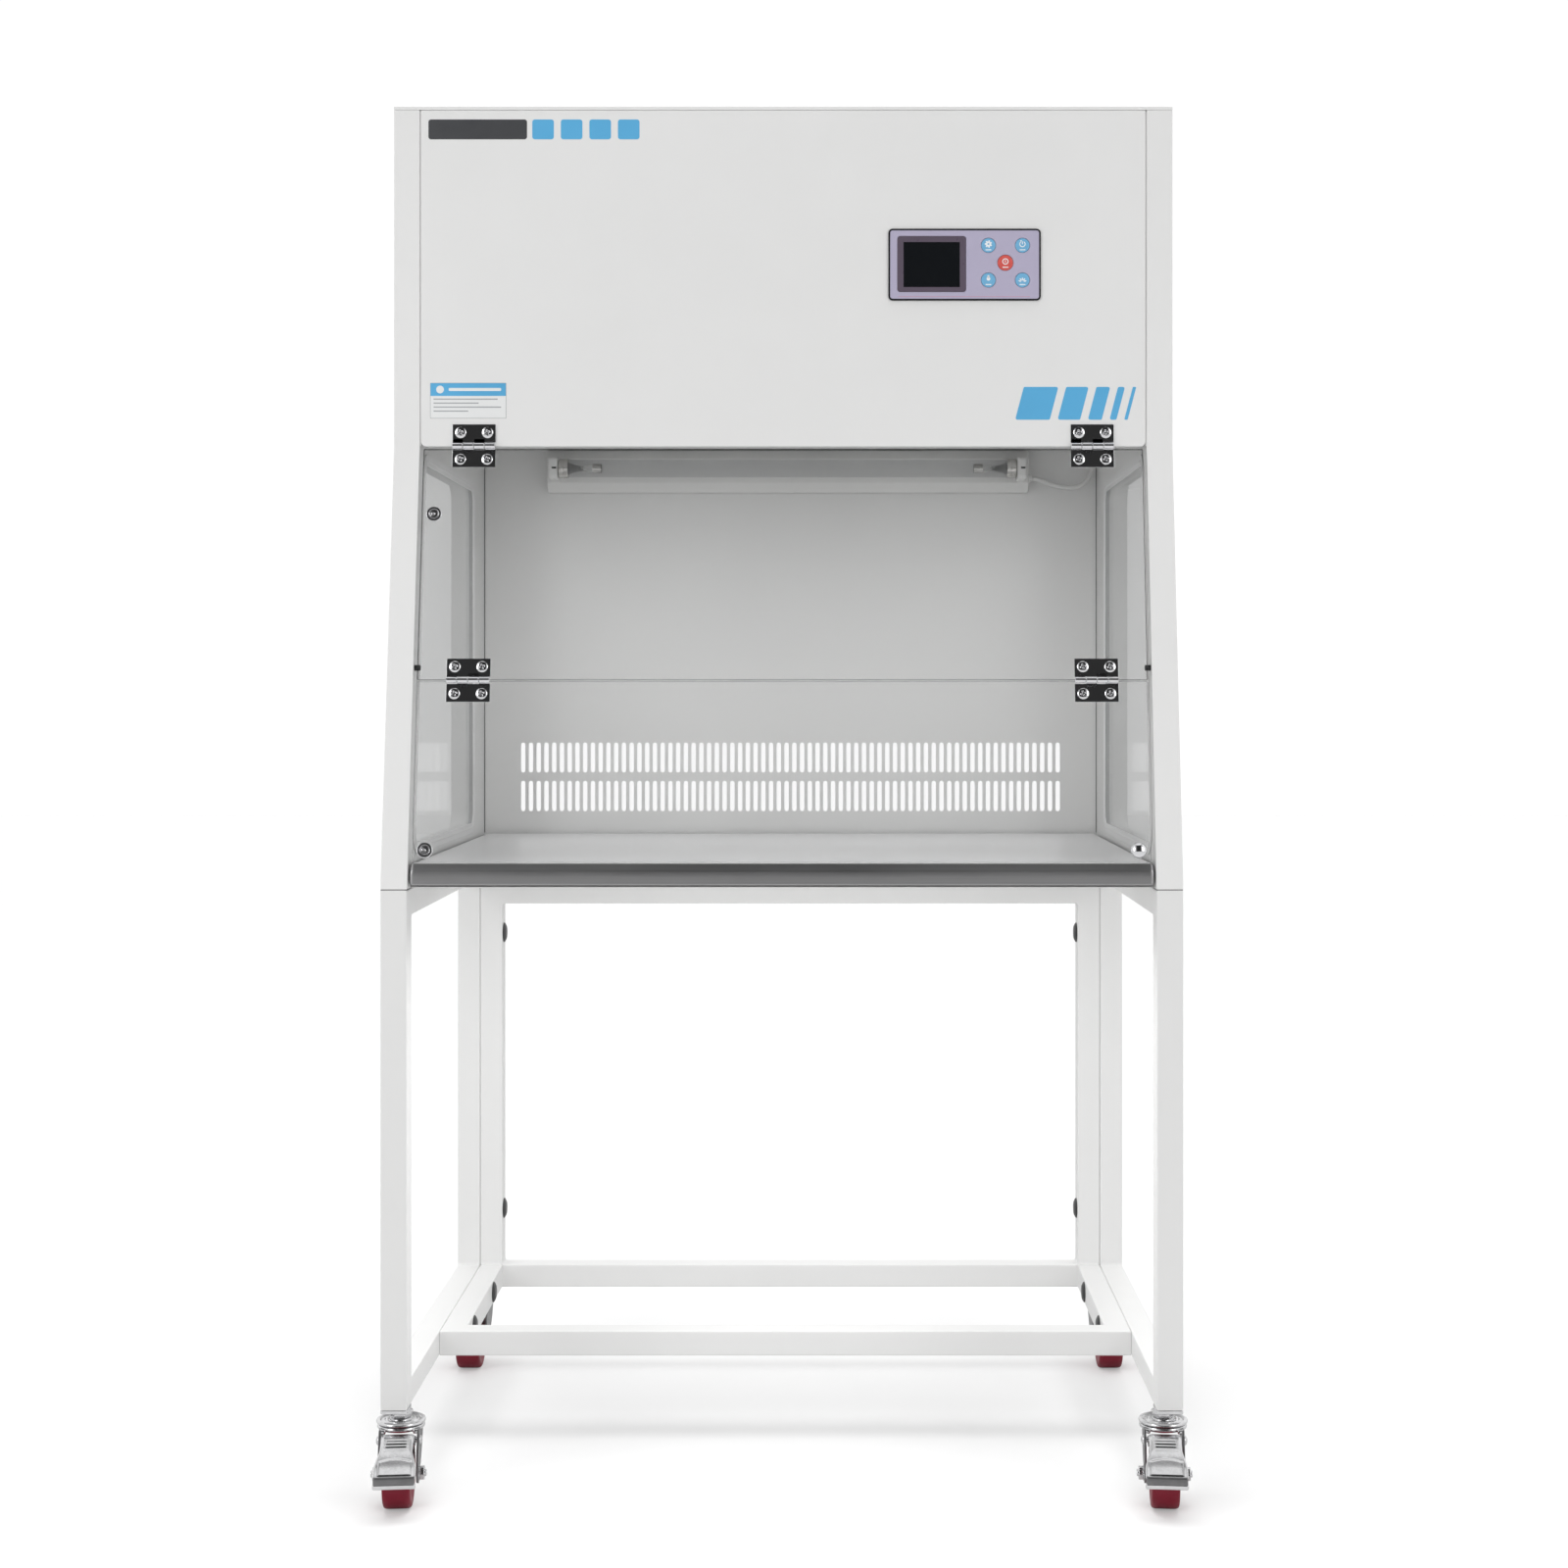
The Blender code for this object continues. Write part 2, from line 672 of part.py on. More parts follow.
def make_filter(bench):
    """Diffuser plate, filter frame and pleated medium, hung under the blower deck."""
    half, front, back = INNER - 0.0015, 0.102, BACK_INNER - GAP
    grille = [
        rectangle(x - 0.030, y - 0.004, x + 0.030, y + 0.004)
        for x in (-0.350 + 0.100 * k for k in range(8))
        for y in (0.170 + 0.090 * k for k in range(5))
    ]
    outline = rectangle(-half, front, half, back)
    plate = prism(outline, "z", DIFFUSER_BOTTOM, DIFFUSER_BOTTOM + SHEET, grille)
    add("diffuser_plate", plate, powder_coat(), bench)
    ring = prism(outline, "z", *FILTER, [inset(outline, FILTER_WALL)])
    add("filter_frame", ring, finish("filter_frame_board", (0.52, 0.40, 0.25), 0.7), bench)
    low, high = FILTER[0] + 0.006, FILTER[1] - 0.006
    pitch = 2 * (half - FILTER_WALL - 0.001) / (2 * PLEATS)
    thick = 0.006
    zigzag = [
        Vector((-half + FILTER_WALL + 0.001 + pitch * k, low if k % 2 else high - thick))
        for k in range(2 * PLEATS + 1)
    ]
    outline = zigzag + [point + Vector((0, thick)) for point in reversed(zigzag)]
    inner_front, inner_back = front + FILTER_WALL + GAP, back - FILTER_WALL - GAP
    paper = finish("filter_paper", (0.85, 0.85, 0.82), 0.9)
    add("filter_medium", prism(outline, "y", inner_front, inner_back), paper, bench)


def scroll(offset):
    """The blower's volute about its shaft, with a spout that goes down, moved inwards by offset."""
    depth, height = SHAFT
    turn = [
        Vector((depth + r * math.cos(a), height + r * math.sin(a)))
        for a, r in (
            (math.radians(angle), 0.092 + 0.030 * (angle + 20) / 200 - offset)
            for angle in range(-20, 181, 20)
        )
    ]
    foot = DECK_BOTTOM + SHEET + GAP
    left = turn[-1].x
    return turn + [Vector((left, foot)), Vector((depth + 0.050 - offset, foot))]


def make_blower(bench):
    """Deck, volute housing, motor on its side and a bladed impeller on the motor's shaft."""
    depth, height = SHAFT
    left, right = BLOWER_X
    foot = DECK_BOTTOM + SHEET
    half = INNER - 0.0015
    outlet = rectangle(left + 0.004, depth - 0.110, right - 0.004, depth + 0.040)
    deck = prism(
        rectangle(-half, 0.102, half, BACK_INNER - GAP), "z", DECK_BOTTOM, foot, [outlet]
    )
    add("blower_deck", deck, galvanised(), bench)
    wall = 0.0015
    mouth = cylinder("x", SHAFT, 0.060, left - wall, left + 2 * wall, 20)
    shaft_hole = cylinder("x", SHAFT, 0.016, right - 2 * wall, right + wall, 12)
    inside = scroll(wall)
    inside[-1].y = inside[-2].y = foot - wall
    hollow = prism(inside, "x", left + wall, right - wall)
    housing = prism(scroll(0), "x", left, right)
    add("blower_housing", housing, galvanised(), bench, cuts=[hollow, mouth, shaft_hole])
    body_start, body_end = right + GAP, right + 0.110
    motor = turned(
        [
            (0, body_start - 0.066),
            (SHAFT_RADIUS, body_start - 0.066),
            (SHAFT_RADIUS, body_start),
            (0.050, body_start),
            (0.050, body_end - 0.008),
            (0.040, body_end),
            (0, body_end),
        ],
        "x",
        SHAFT,
    )
    add("blower_motor", motor, galvanised(), bench, smooth=True)
    make_impeller(pivot("impeller_pivot", bench, (right - 0.062, depth, height)))


def make_impeller(shaft):
    """A backplate with blades round its rim; x runs away from the motor."""
    bore, hub, plate = SHAFT_RADIUS + 0.0002, 0.015, 0.002
    blade_inner, blade_height, sectors = 0.060, 0.034, 2 * BLADES
    solid = bmesh.new()
    rings = [
        [solid.verts.new(placed("x", *point, 0)) for point in circle((0, 0), radius, sectors)]
        for radius in (bore, hub, blade_inner, IMPELLER_RADIUS)
    ]
    outer_cells = []
    for first, second in zip(rings, rings[1:]):
        for k in range(sectors):
            after = (k + 1) % sectors
            cell = solid.faces.new((first[k], second[k], second[after], first[after]))
            if second is rings[-1] and k % 2:
                outer_cells.append(cell)
    swept = bmesh.ops.extrude_face_region(solid, geom=solid.faces[:], use_keep_orig=True)
    back_side = [item for item in swept["geom"] if isinstance(item, bmesh.types.BMVert)]
    bmesh.ops.translate(solid, verts=back_side, vec=(plate, 0, 0))
    blades = bmesh.ops.extrude_discrete_faces(solid, faces=outer_cells)["faces"]
    tips = {vertex for face in blades for vertex in face.verts}
    bmesh.ops.translate(solid, verts=list(tips), vec=(-blade_height, 0, 0))
    bmesh.ops.recalc_face_normals(solid, faces=solid.faces)
    add("impeller", solid, galvanised(), shaft)


def make_pre_filter(bench):
    foam = finish("filter_foam", (0.30, 0.32, 0.34), 0.95)
    pad = rounded(rectangle(-0.190, 0.235, 0.190, 0.445), 0.006)
    add("pre_filter", prism(pad, "z", HEIGHT - SHEET - GAP - 0.012, HEIGHT - SHEET - GAP), foam, bench)


# Controls


def make_controls(bench):
    """Control plate with a display and five short-travel buttons that stand in its holes."""
    outline = rounded(rectangle(PANEL_X[0], PANEL_Z[0], PANEL_X[1], PANEL_Z[1]), 0.005)
    screen = rectangle(SCREEN_X[0], SCREEN_Z[0], SCREEN_X[1], SCREEN_Z[1])
    holes = [inset(screen, -GAP)]
    holes += [circle(centre, BUTTON_RADIUS + GAP, 16) for centre in BUTTONS.values()]
    overlay = finish("control_overlay", (0.47, 0.43, 0.56), 0.35)
    plate_back = COVER_FRONT - GAP
    plate = prism(outline, "y", PANEL_FRONT, plate_back, holes)
    add("control_panel", plate, overlay, bench)
    bezel = finish("display_bezel", (0.10, 0.08, 0.11), 0.25)
    add("display_screen", prism(screen, "y", PANEL_FRONT - GAP, 0.092), bezel, bench)
    for name, (x, z) in BUTTONS.items():
        if name == "power_button":
            colour = finish("red_button", (0.69, 0.055, 0.050), 0.30)
        else:
            colour = finish("blue_button", (0.10, 0.40, 0.67), 0.30)
        face = pivot(f"push.{name}", bench, (x, PANEL_FRONT - BUTTON_PROUD, z))
        add(name, cylinder("y", (0, 0), BUTTON_RADIUS, 0, 0.0025, 16), colour, face, smooth=True)


# Lamp


def make_lamp(bench):
    """Batten with two lamp holders on the back panel, and the tube between them."""
    depth, height = LAMP_CENTRE
    batten = block(
        (LAMP_X - BATTEN_HALF, BATTEN_FRONT, BATTEN_Z[0]),
        (LAMP_X + BATTEN_HALF, BACK_INNER - GAP, BATTEN_Z[1]),
    )
    start, end = LAMP_HALF + GAP, LAMP_HALF + 0.012
    holders = []
    for _, sign in SIDES:
        low, high = sorted((LAMP_X + sign * start, LAMP_X + sign * end))
        holders.append(block((low, 0.526, height - 0.015), (high, BATTEN_FRONT + 0.005, height + 0.015)))
    add("lamp_batten", batten, white_plastic(), bench, joins=holders)
    cap, cap_length = LAMP_RADIUS + 0.001, 0.013
    half = [(cap, LAMP_HALF), (cap, LAMP_HALF - cap_length), (LAMP_RADIUS, LAMP_HALF - cap_length)]
    profile = [(0, LAMP_HALF), *half, *((r, -along) for r, along in reversed(half)), (0, -LAMP_HALF)]
    tube = turned([(r, LAMP_X - along) for r, along in profile], "x", LAMP_CENTRE)
    glass = finish("lamp_glass", (0.88, 0.90, 0.93), 0.05, alpha=0.4)
    add("lamp_tube", tube, glass, bench, smooth=True)


def smooth_route(points, spacing):
    """Points at about this spacing on a Catmull-Rom curve through the given points."""
    ends = [2 * points[0] - points[1], *points, 2 * points[-1] - points[-2]]
    curve = []
    for before, start, end, after in zip(ends, ends[1:], ends[2:], ends[3:]):
        steps = max(1, round((end - start).length / spacing))
        for step in range(steps):
            t = step / steps
            curve.append(
                0.5
                * (
                    2 * start
                    + (end - before) * t
                    + (2 * before - 5 * start + 4 * end - after) * t**2
                    + (3 * start - before - 3 * end + after) * t**3
                )
            )
    return curve + [points[-1]]


def make_lamp_cable(bench):
    """The lead from the batten's end, sagging a little, up to the diffuser plate in the corner."""
    route = [Vector((x, CABLE_DEPTH, z)) for x, z in CABLE_ROUTE]
    points = smooth_route(route, 4 * CABLE_RADIUS)
    curve = bpy.data.curves.new("lamp_cable", "CURVE")
    curve.dimensions = "3D"
    curve.bevel_depth = CABLE_RADIUS
    curve.bevel_resolution = 2
    curve.use_fill_caps = True
    spline = curve.splines.new("POLY")
    spline.points.add(len(points) - 1)
    for target, point in zip(spline.points, points):
        target.co = (*point, 1)
    curve.materials.append(white_plastic())
    cable = bpy.data.objects.new("lamp_cable", curve)
    bpy.context.scene.collection.objects.link(cable)
    cable.parent = bench


# Sash, in the frame of a hinge axis: z runs up along the sash and y points behind it


def knuckle_span(index):
    pitch = 2 * HINGE_HALF_WIDTH / KNUCKLES
    start = -HINGE_HALF_WIDTH + pitch * index
    return start + GAP / 2, start + pitch - GAP / 2


def make_leaf(name, axis, x, direction, pinned=False):
    """A hinge leaf that runs up (direction 1) or down (-1) from the hinge axis.

    The pinned leaf holds the pin; the other one has a bore for it.
    """
    offset = KNUCKLE - LEAF
    free = KNUCKLE + 2 * GAP
    own = [knuckle_span(index) for index in range(KNUCKLES) if (index % 2 == 0) == pinned]
    plate = block(
        (x - HINGE_HALF_WIDTH, offset, min(direction * free, direction * LEAF_LENGTH)),
        (x + HINGE_HALF_WIDTH, KNUCKLE, max(direction * free, direction * LEAF_LENGTH)),
    )
    joins, cuts = [], []
    for start, end in own:
        joins.append(cylinder("x", (0, 0), KNUCKLE, x + start, x + end))
        web = sorted((0, direction * 2 * free))
        joins.append(block((x + start, offset, web[0]), (x + end, KNUCKLE, web[1])))
    half = HINGE_HALF_WIDTH
    if pinned:
        joins.append(cylinder("x", (0, 0), PIN_RADIUS, x - half, x + half))
    else:
        cuts.append(cylinder("x", (0, 0), PIN_BORE, x - half - GAP, x + half + GAP))
    add(name, plate, chrome(), axis, joins=joins, cuts=cuts)


def make_sash(bench):
    """Two clear panels on surface hinges; the lower one folds up against the upper one."""
    top_seat = pivot("upper_hinge_seat", bench, (0, HINGE_AXIS_Y, HINGE_AXIS_Z))
    top_axis = pivot("upper_hinge_axis", top_seat, (0, 0, 0), SASH_TILT)
    middle_seat = pivot("middle_hinge_seat", top_axis, (0, 0, -MIDDLE_HINGE))
    middle_axis = pivot("middle_hinge_axis", middle_seat, (0, 0, 0))
    clearance = 0.0015
    panel_back = PANEL_FACE + PANEL_THICKNESS
    wide = PANEL_HALF_WIDTH
    upper = block((-wide, PANEL_FACE, clearance - MIDDLE_HINGE), (wide, panel_back, -SASH_TOP_GAP))
    add("upper_sash", upper, clear_acrylic(), top_axis)
    length = SASH_LENGTH - MIDDLE_HINGE
    lower = block((-wide, PANEL_FACE, -length), (wide, panel_back, -clearance))
    add("lower_sash", lower, clear_acrylic(), middle_axis)
    for side, sign in SIDES:
        x = sign * HINGE_X
        make_leaf(f"upper_hinge_fixed_leaf_{side}", top_seat, x, 1, pinned=True)
        make_leaf(f"upper_hinge_moving_leaf_{side}", top_axis, x, -1)
        make_leaf(f"middle_hinge_fixed_leaf_{side}", middle_seat, x, 1, pinned=True)
        make_leaf(f"middle_hinge_moving_leaf_{side}", middle_axis, x, -1)
    catch_back = PANEL_FACE - GAP
    for name, frame, direction in (
        ("catch_magnet_upper", middle_seat, 1),
        ("catch_magnet_lower", middle_axis, -1),
    ):
        disc = cylinder(
            "y", (-CATCH_X, direction * CATCH_DISTANCE), CATCH_RADIUS, GAP, catch_back, 16
        )
        add(name, disc, chrome(), frame, smooth=True)
    make_bumper(middle_axis, (CATCH_X, -CATCH_DISTANCE), catch_back)


def make_bumper(axis, centre, back):
    """A low chrome dome that keeps the folded panels apart."""
    radius, rise, steps = CATCH_RADIUS, 0.0065, 4
    angles = [math.radians(90 * step / steps) for step in range(1, steps)]
    dome = [(radius * math.sin(a), back - rise * math.cos(a)) for a in angles]
    profile = [(0, back - rise), *dome, (radius, back - 0.001), (radius, back), (0, back)]
    add("sash_bumper", turned(profile, "y", centre, 14), chrome(), axis, smooth=True)


def main():
    for existing in list(bpy.data.objects):
        bpy.data.objects.remove(existing)
    bench = pivot("bench", None, (0, (PEDAL_REACH - DEPTH) / 2, 0))
    for side, sign in SIDES:
        make_side_frame(bench, side, sign)
        make_caster(bench, "front", side, sign)
        make_caster(bench, "rear", side, sign)
        make_side_panel(bench, side, sign)
        make_window(bench, side, sign)
    make_centre_frame(bench)
    make_back_panel(bench)
    make_power_inlet(bench)
    make_lid(bench)
    make_front_cover(bench)
    make_base(bench)
    make_filter(bench)
    make_blower(bench)
    make_pre_filter(bench)
    make_controls(bench)
    make_lamp(bench)
    make_lamp_cable(bench)
    make_sash(bench)


main()
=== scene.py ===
"""The looks of a vertical laminar-flow clean bench on a wheeled tube stand.

Lengths are metres. Shapes are built in the bench frame: z = 0 is the floor, x = 0 the middle, y = 0 the
front face of the stand's legs, +Y to the back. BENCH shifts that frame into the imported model's frame.
"""

import math

import bmesh
import bpy
from mathutils import Matrix, Vector


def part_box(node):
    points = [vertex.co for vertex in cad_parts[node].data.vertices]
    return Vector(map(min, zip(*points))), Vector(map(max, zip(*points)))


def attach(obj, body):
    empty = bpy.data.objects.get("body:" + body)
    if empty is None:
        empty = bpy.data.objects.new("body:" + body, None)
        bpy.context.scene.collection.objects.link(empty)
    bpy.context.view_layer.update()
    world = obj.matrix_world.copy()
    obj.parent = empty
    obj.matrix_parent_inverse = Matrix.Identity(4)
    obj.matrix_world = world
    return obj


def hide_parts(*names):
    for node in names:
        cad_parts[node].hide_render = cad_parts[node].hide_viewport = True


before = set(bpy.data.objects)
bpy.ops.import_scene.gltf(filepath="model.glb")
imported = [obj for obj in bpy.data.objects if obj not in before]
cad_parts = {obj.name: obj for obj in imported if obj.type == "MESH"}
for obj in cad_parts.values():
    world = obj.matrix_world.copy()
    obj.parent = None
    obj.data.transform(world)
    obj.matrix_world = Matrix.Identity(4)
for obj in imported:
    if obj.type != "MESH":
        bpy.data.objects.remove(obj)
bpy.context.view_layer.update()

# Driving dimensions, as in the CAD
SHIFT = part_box("stand_side_frame_left")[0].y
BENCH = Matrix.Translation((0, SHIFT, 0))
GAP = 0.0003
SHEET = 0.0012
WIDTH, DEPTH, HEIGHT = 0.900, 0.600, 1.585
TUBE = 0.030
INNER = WIDTH / 2 - TUBE
LEG_BOTTOM, STAND_TOP, STAND_DEPTH = 0.103, 0.687, 0.585
CENTRE_FRAME_FRONT, CENTRE_FRAME_TOP = 0.220, 0.6525
CASTER_X, CASTER_Y, CASTER_TURN = 0.4295, (0.017, 0.568), math.radians(5)
TRAIL, WHEEL_RADIUS = 0.031, 0.0375
PEDAL_PIVOT = (-0.023, 0.072)
PEDAL_REACH, PEDAL_NECK, PEDAL_FOOT = 0.0673, 0.0178, 0.0232
PEDAL_GROOVES = (0.0180, 0.0238, 0.0290)
COVER_FRONT, COVER_BOTTOM, LID_BOTTOM = 0.083, 1.192, 1.581
BACK_INNER, BACK_PLATE = 0.5955, 0.0015
WORKTOP_TOP, CEILING = 0.7155, 1.240
KNUCKLE, LEAF = 0.0035, 0.0015
TILT = math.atan2(COVER_FRONT, COVER_BOTTOM - STAND_TOP)
HINGE_AXIS_Y, HINGE_AXIS_Z = COVER_FRONT - GAP - KNUCKLE, 1.1925
PANEL_FACE, PANEL_THICKNESS = KNUCKLE + GAP, 0.005
MIDDLE_HINGE, SASH_LENGTH = 0.2741, 0.4814
HINGE_X, HINGE_HALF = 0.357, 0.025
PANEL_FRONT = COVER_FRONT - GAP - 0.0015
LAMP_X, LAMP_HALF, LAMP_RADIUS, LAMP_CENTRE = -0.003, 0.309, 0.012, (0.540, 1.2105)
BATTEN_HALF, BATTEN_FRONT, BATTEN_Z = 0.327, 0.560, (1.181, 1.238)
SIDES = (("left", -1), ("right", 1))

# Sizes that only the looks have
TUBE_EDGE = 0.0018
SEAT_SEAM = 0.0012
STOP_DROP = 0.258
KEY_RADII = {"power_button": 0.0091}
SMALL_KEY = 0.0084
PANEL_CLEARANCE = 0.0007
CABLE_RADIUS, CABLE_DEPTH, CABLE_START_Z, CABLE_END_X = 0.00325, 0.578, 1.2005, 0.4130

TOP_AXIS = BENCH @ Matrix.Translation((0, HINGE_AXIS_Y, HINGE_AXIS_Z)) @ Matrix.Rotation(-TILT, 4, "X")
MIDDLE_AXIS = TOP_AXIS @ Matrix.Translation((0, 0, -MIDDLE_HINGE))
TOP_SEAT = BENCH @ Matrix.Translation((0, HINGE_AXIS_Y, HINGE_AXIS_Z))

# Outlines: lists of 2D points, counter-clockwise


def vectors(*places):
    return [Vector(place) for place in places]


def rectangle(left, bottom, right, top):
    return vectors((left, bottom), (right, bottom), (right, top), (left, top))


def arc(centre, radius, start, end, steps):
    angles = [math.radians(start + (end - start) * k / steps) for k in range(steps + 1)]
    return [Vector(centre) + radius * Vector((math.cos(a), math.sin(a))) for a in angles]


def circle(centre, radius, steps=48):
    return arc(centre, radius, 0, 360, steps)[:-1]


def inset(outline, distance):
    """The outline with every side moved inwards by distance."""
    if not distance:
        return outline
    moved = []
    for index, corner in enumerate(outline):
        before, after = outline[index - 1], outline[(index + 1) % len(outline)]
        first, second = (corner - before).normalized(), (after - corner).normalized()
        inward = Vector((-first.y, first.x))
        halfway = (inward + Vector((-second.y, second.x))).normalized()
        moved.append(corner + halfway * distance / halfway.dot(inward))
    return moved


def rounded(outline, radius, steps=6):
    """The outline of a convex shape with an arc at each corner; radius may differ by corner."""
    radii = radius if isinstance(radius, (list, tuple)) else [radius] * len(outline)
    points = []
    for index, corner in enumerate(outline):
        if not radii[index]:
            points.append(corner)
            continue
        to_before = (outline[index - 1] - corner).normalized()
        to_after = (outline[(index + 1) % len(outline)] - corner).normalized()
        half = to_before.angle(to_after) / 2
        centre = corner + (to_before + to_after).normalized() * radii[index] / math.sin(half)
        first = corner + to_before * radii[index] / math.tan(half) - centre
        start = math.degrees(math.atan2(first.y, first.x))
        points += arc(centre, radii[index], start, start + 180 - math.degrees(2 * half), steps)
    return points


def slot_outline(x, z, half_width, half_length, steps=6):
    """An upright slot with round ends."""
    ends = arc((x, z + half_length - half_width), half_width, 0, 180, steps)
    return ends + arc((x, z - half_length + half_width), half_width, 180, 360, steps)


def spline(points, spacing):
    """Points at about this spacing on a Catmull-Rom curve through the given points."""
    points = vectors(*points)
    ends = [2 * points[0] - points[1], *points, 2 * points[-1] - points[-2]]
    curve = []
    for before, start, end, after in zip(ends, ends[1:], ends[2:], ends[3:]):
        steps = max(1, round((end - start).length / spacing))
        square, cube = 2 * before - 5 * start + 4 * end - after, 3 * start - before - 3 * end + after
        for t in (k / steps for k in range(steps)):
            curve.append(0.5 * (2 * start + (end - before) * t + square * t**2 + cube * t**3))
    return curve + [points[-1]]


# Solids: closed bmeshes


def placed(axis, first, second, along):
    return {"x": (along, first, second), "y": (first, along, second), "z": (first, second, along)}[axis]


def slab(outline, axis, low, high, holes=(), edge=0.0006, steps=2, rim_slot=0):
    """The outline less its holes, swept along axis, its edges rounded on both faces."""
    low, high = sorted((low, high))
    edge = min(edge, (high - low) / 2.001)
    angles = [math.pi / 2 * k / steps for k in range(steps + 1)]
    profile = [(edge * (1 - math.sin(a)), low + edge * (1 - math.cos(a))) for a in angles]
    profile += [(distance, low + high - along) for distance, along in reversed(profile)]
    solid = bmesh.new()
    firsts, lasts = [], []
    for index, loop in enumerate((outline, *holes)):
        sign = -1 if index else 1
        rings = [
            [solid.verts.new(placed(axis, *p, along)) for p in inset(loop, sign * distance)]
            for distance, along in profile
        ]
        for one, two in zip(rings, rings[1:]):
            for k in range(len(loop)):
                after = (k + 1) % len(loop)
                face = solid.faces.new((one[k], one[after], two[after], two[k]))
                face.material_index = rim_slot
        firsts.append(rings[0])
        lasts.append(rings[-1])
    for rings in (firsts, lasts):
        if holes:
            edges = [solid.edges.get(pair) for ring in rings for pair in zip(ring, ring[1:] + ring[:1])]
            bmesh.ops.triangle_fill(solid, edges=edges, use_beauty=True, normal=placed(axis, 0, 0, 1))
        else:
            solid.faces.new(rings[0])
    bmesh.ops.recalc_face_normals(solid, faces=solid.faces)
    return solid


def box(low, high, edge=0.0006, corner=0.0, axis="z", steps=2):
    """A block between two corners with rounded edges, its outline across axis rounded by corner."""
    low, high = zip(*(sorted(ends) for ends in zip(low, high)))
    first, second, along = {"x": (1, 2, 0), "y": (0, 2, 1), "z": (0, 1, 2)}[axis]
    outline = rectangle(low[first], low[second], high[first], high[second])
    if corner:
        outline = rounded(outline, corner, 4)
    return slab(outline, axis, low[along], high[along], edge=edge, steps=steps)


def lathe(profile, axis, centre=(0, 0), steps=48):
    """A closed profile of (radius, distance along axis) points, turned about the axis."""
    solid = bmesh.new()
    rings = []
    for radius, along in profile:
        around = circle(centre, radius, steps) if radius else [Vector(centre)]
        rings.append([solid.verts.new(placed(axis, *p, along)) for p in around])
    pairs = list(zip(rings, rings[1:]))
    if profile[0][0]:
        pairs.append((rings[-1], rings[0]))
    for one, two in pairs:
        for k in range(steps):
            corners = [r[j % len(r)] for r, j in ((one, k), (one, k + 1), (two, k + 1), (two, k))]
            solid.faces.new(dict.fromkeys(corners))
    bmesh.ops.recalc_face_normals(solid, faces=solid.faces)
    return solid


def mirrored(profile, sign, start=0):
    """A lathe's profile laid off from start, backwards along the axis where sign is -1."""
    return [(radius, start + sign * along) for radius, along in profile]


def softened(profile, radius, steps=3):
    """A profile with small arcs at its corners."""
    points = vectors(*profile)
    out = [points[0]]
    for before, corner, after in zip(points, points[1:], points[2:]):
        reach = min(radius, (before - corner).length / 2.2, (after - corner).length / 2.2)
        start = corner + (before - corner).normalized() * reach
        end = corner + (after - corner).normalized() * reach
        for k in range(steps + 1):
            t = k / steps
            out.append((1 - t) ** 2 * start + 2 * t * (1 - t) * corner + t**2 * end)
    return [tuple(p) for p in out + [points[-1]]]


def wire(points, radius, sides=10, up=(0, 1, 0)):
    """A round wire along 3D points."""
    points = vectors(*points)
    solid = bmesh.new()
    rings = []
    for index, point in enumerate(points):
        along = (points[min(index + 1, len(points) - 1)] - points[max(index - 1, 0)]).normalized()
        across = along.cross(Vector(up))
        if across.length < 0.1:
            across = along.cross(Vector((1, 0, 0)))
        across.normalize()
        other = along.cross(across)
        turns = [math.tau * k / sides for k in range(sides)]
        spokes = [radius * (math.cos(a) * across + math.sin(a) * other) for a in turns]
        rings.append([solid.verts.new(point + spoke) for spoke in spokes])
    for one, two in zip(rings, rings[1:]):
        for k in range(sides):
            solid.faces.new((one[k], one[(k + 1) % sides], two[(k + 1) % sides], two[k]))
    solid.faces.new(rings[0])
    solid.faces.new(rings[-1])
    bmesh.ops.recalc_face_normals(solid, faces=solid.faces)
    return solid


# Materials


PLAIN = {  # colour, roughness, and what differs from surface()'s defaults
    "powder_coat": ((0.80, 0.80, 0.795), 0.42, dict(vary=0.012, grain=900, depth=0.00005, patch=3.0)),
    # dark grey for strips in seams: painted shade under the cabinet's edges and in the chamber's back corners
    "seam_shade": ((0.16, 0.16, 0.16), 0.6, dict(vary=0.08, grain=900)),
    "panel_rim": ((0.012, 0.012, 0.014), 0.55, dict(vary=0.1, grain=1500, specular=0.15)),
    "gasket": ((0.84, 0.84, 0.84), 0.55, dict(grain=700, depth=0.00004)),
    "polyurethane": (
        (0.200, 0.006, 0.021), 0.38, dict(vary=0.10, grain=600, depth=0.00006, patch=40, specular=0.3),
    ),
    "black_plastic": ((0.022, 0.022, 0.023), 0.42, dict(vary=0.15, grain=1500, depth=0.00004)),
    "white_plastic": ((0.78, 0.78, 0.77), 0.38, dict(vary=0.02, grain=1400)),
    "label": ((0.82, 0.83, 0.83), 0.38, dict(vary=0.01, grain=2000)),
    "cable": ((0.76, 0.76, 0.75), 0.42, dict(grain=800, depth=0.00005)),
    "edging": ((0.96, 0.96, 0.955), 0.5, dict(vary=0.01, grain=1100)),
    "filter_paper": ((0.84, 0.84, 0.81), 0.92, dict(vary=0.05, grain=1600, depth=0.0002)),
    "filter_board": (
        (0.52, 0.40, 0.25), 0.70, dict(vary=0.22, grain=60, depth=0.0003, stretch=(1, 8, 8), patch=30),
    ),
}
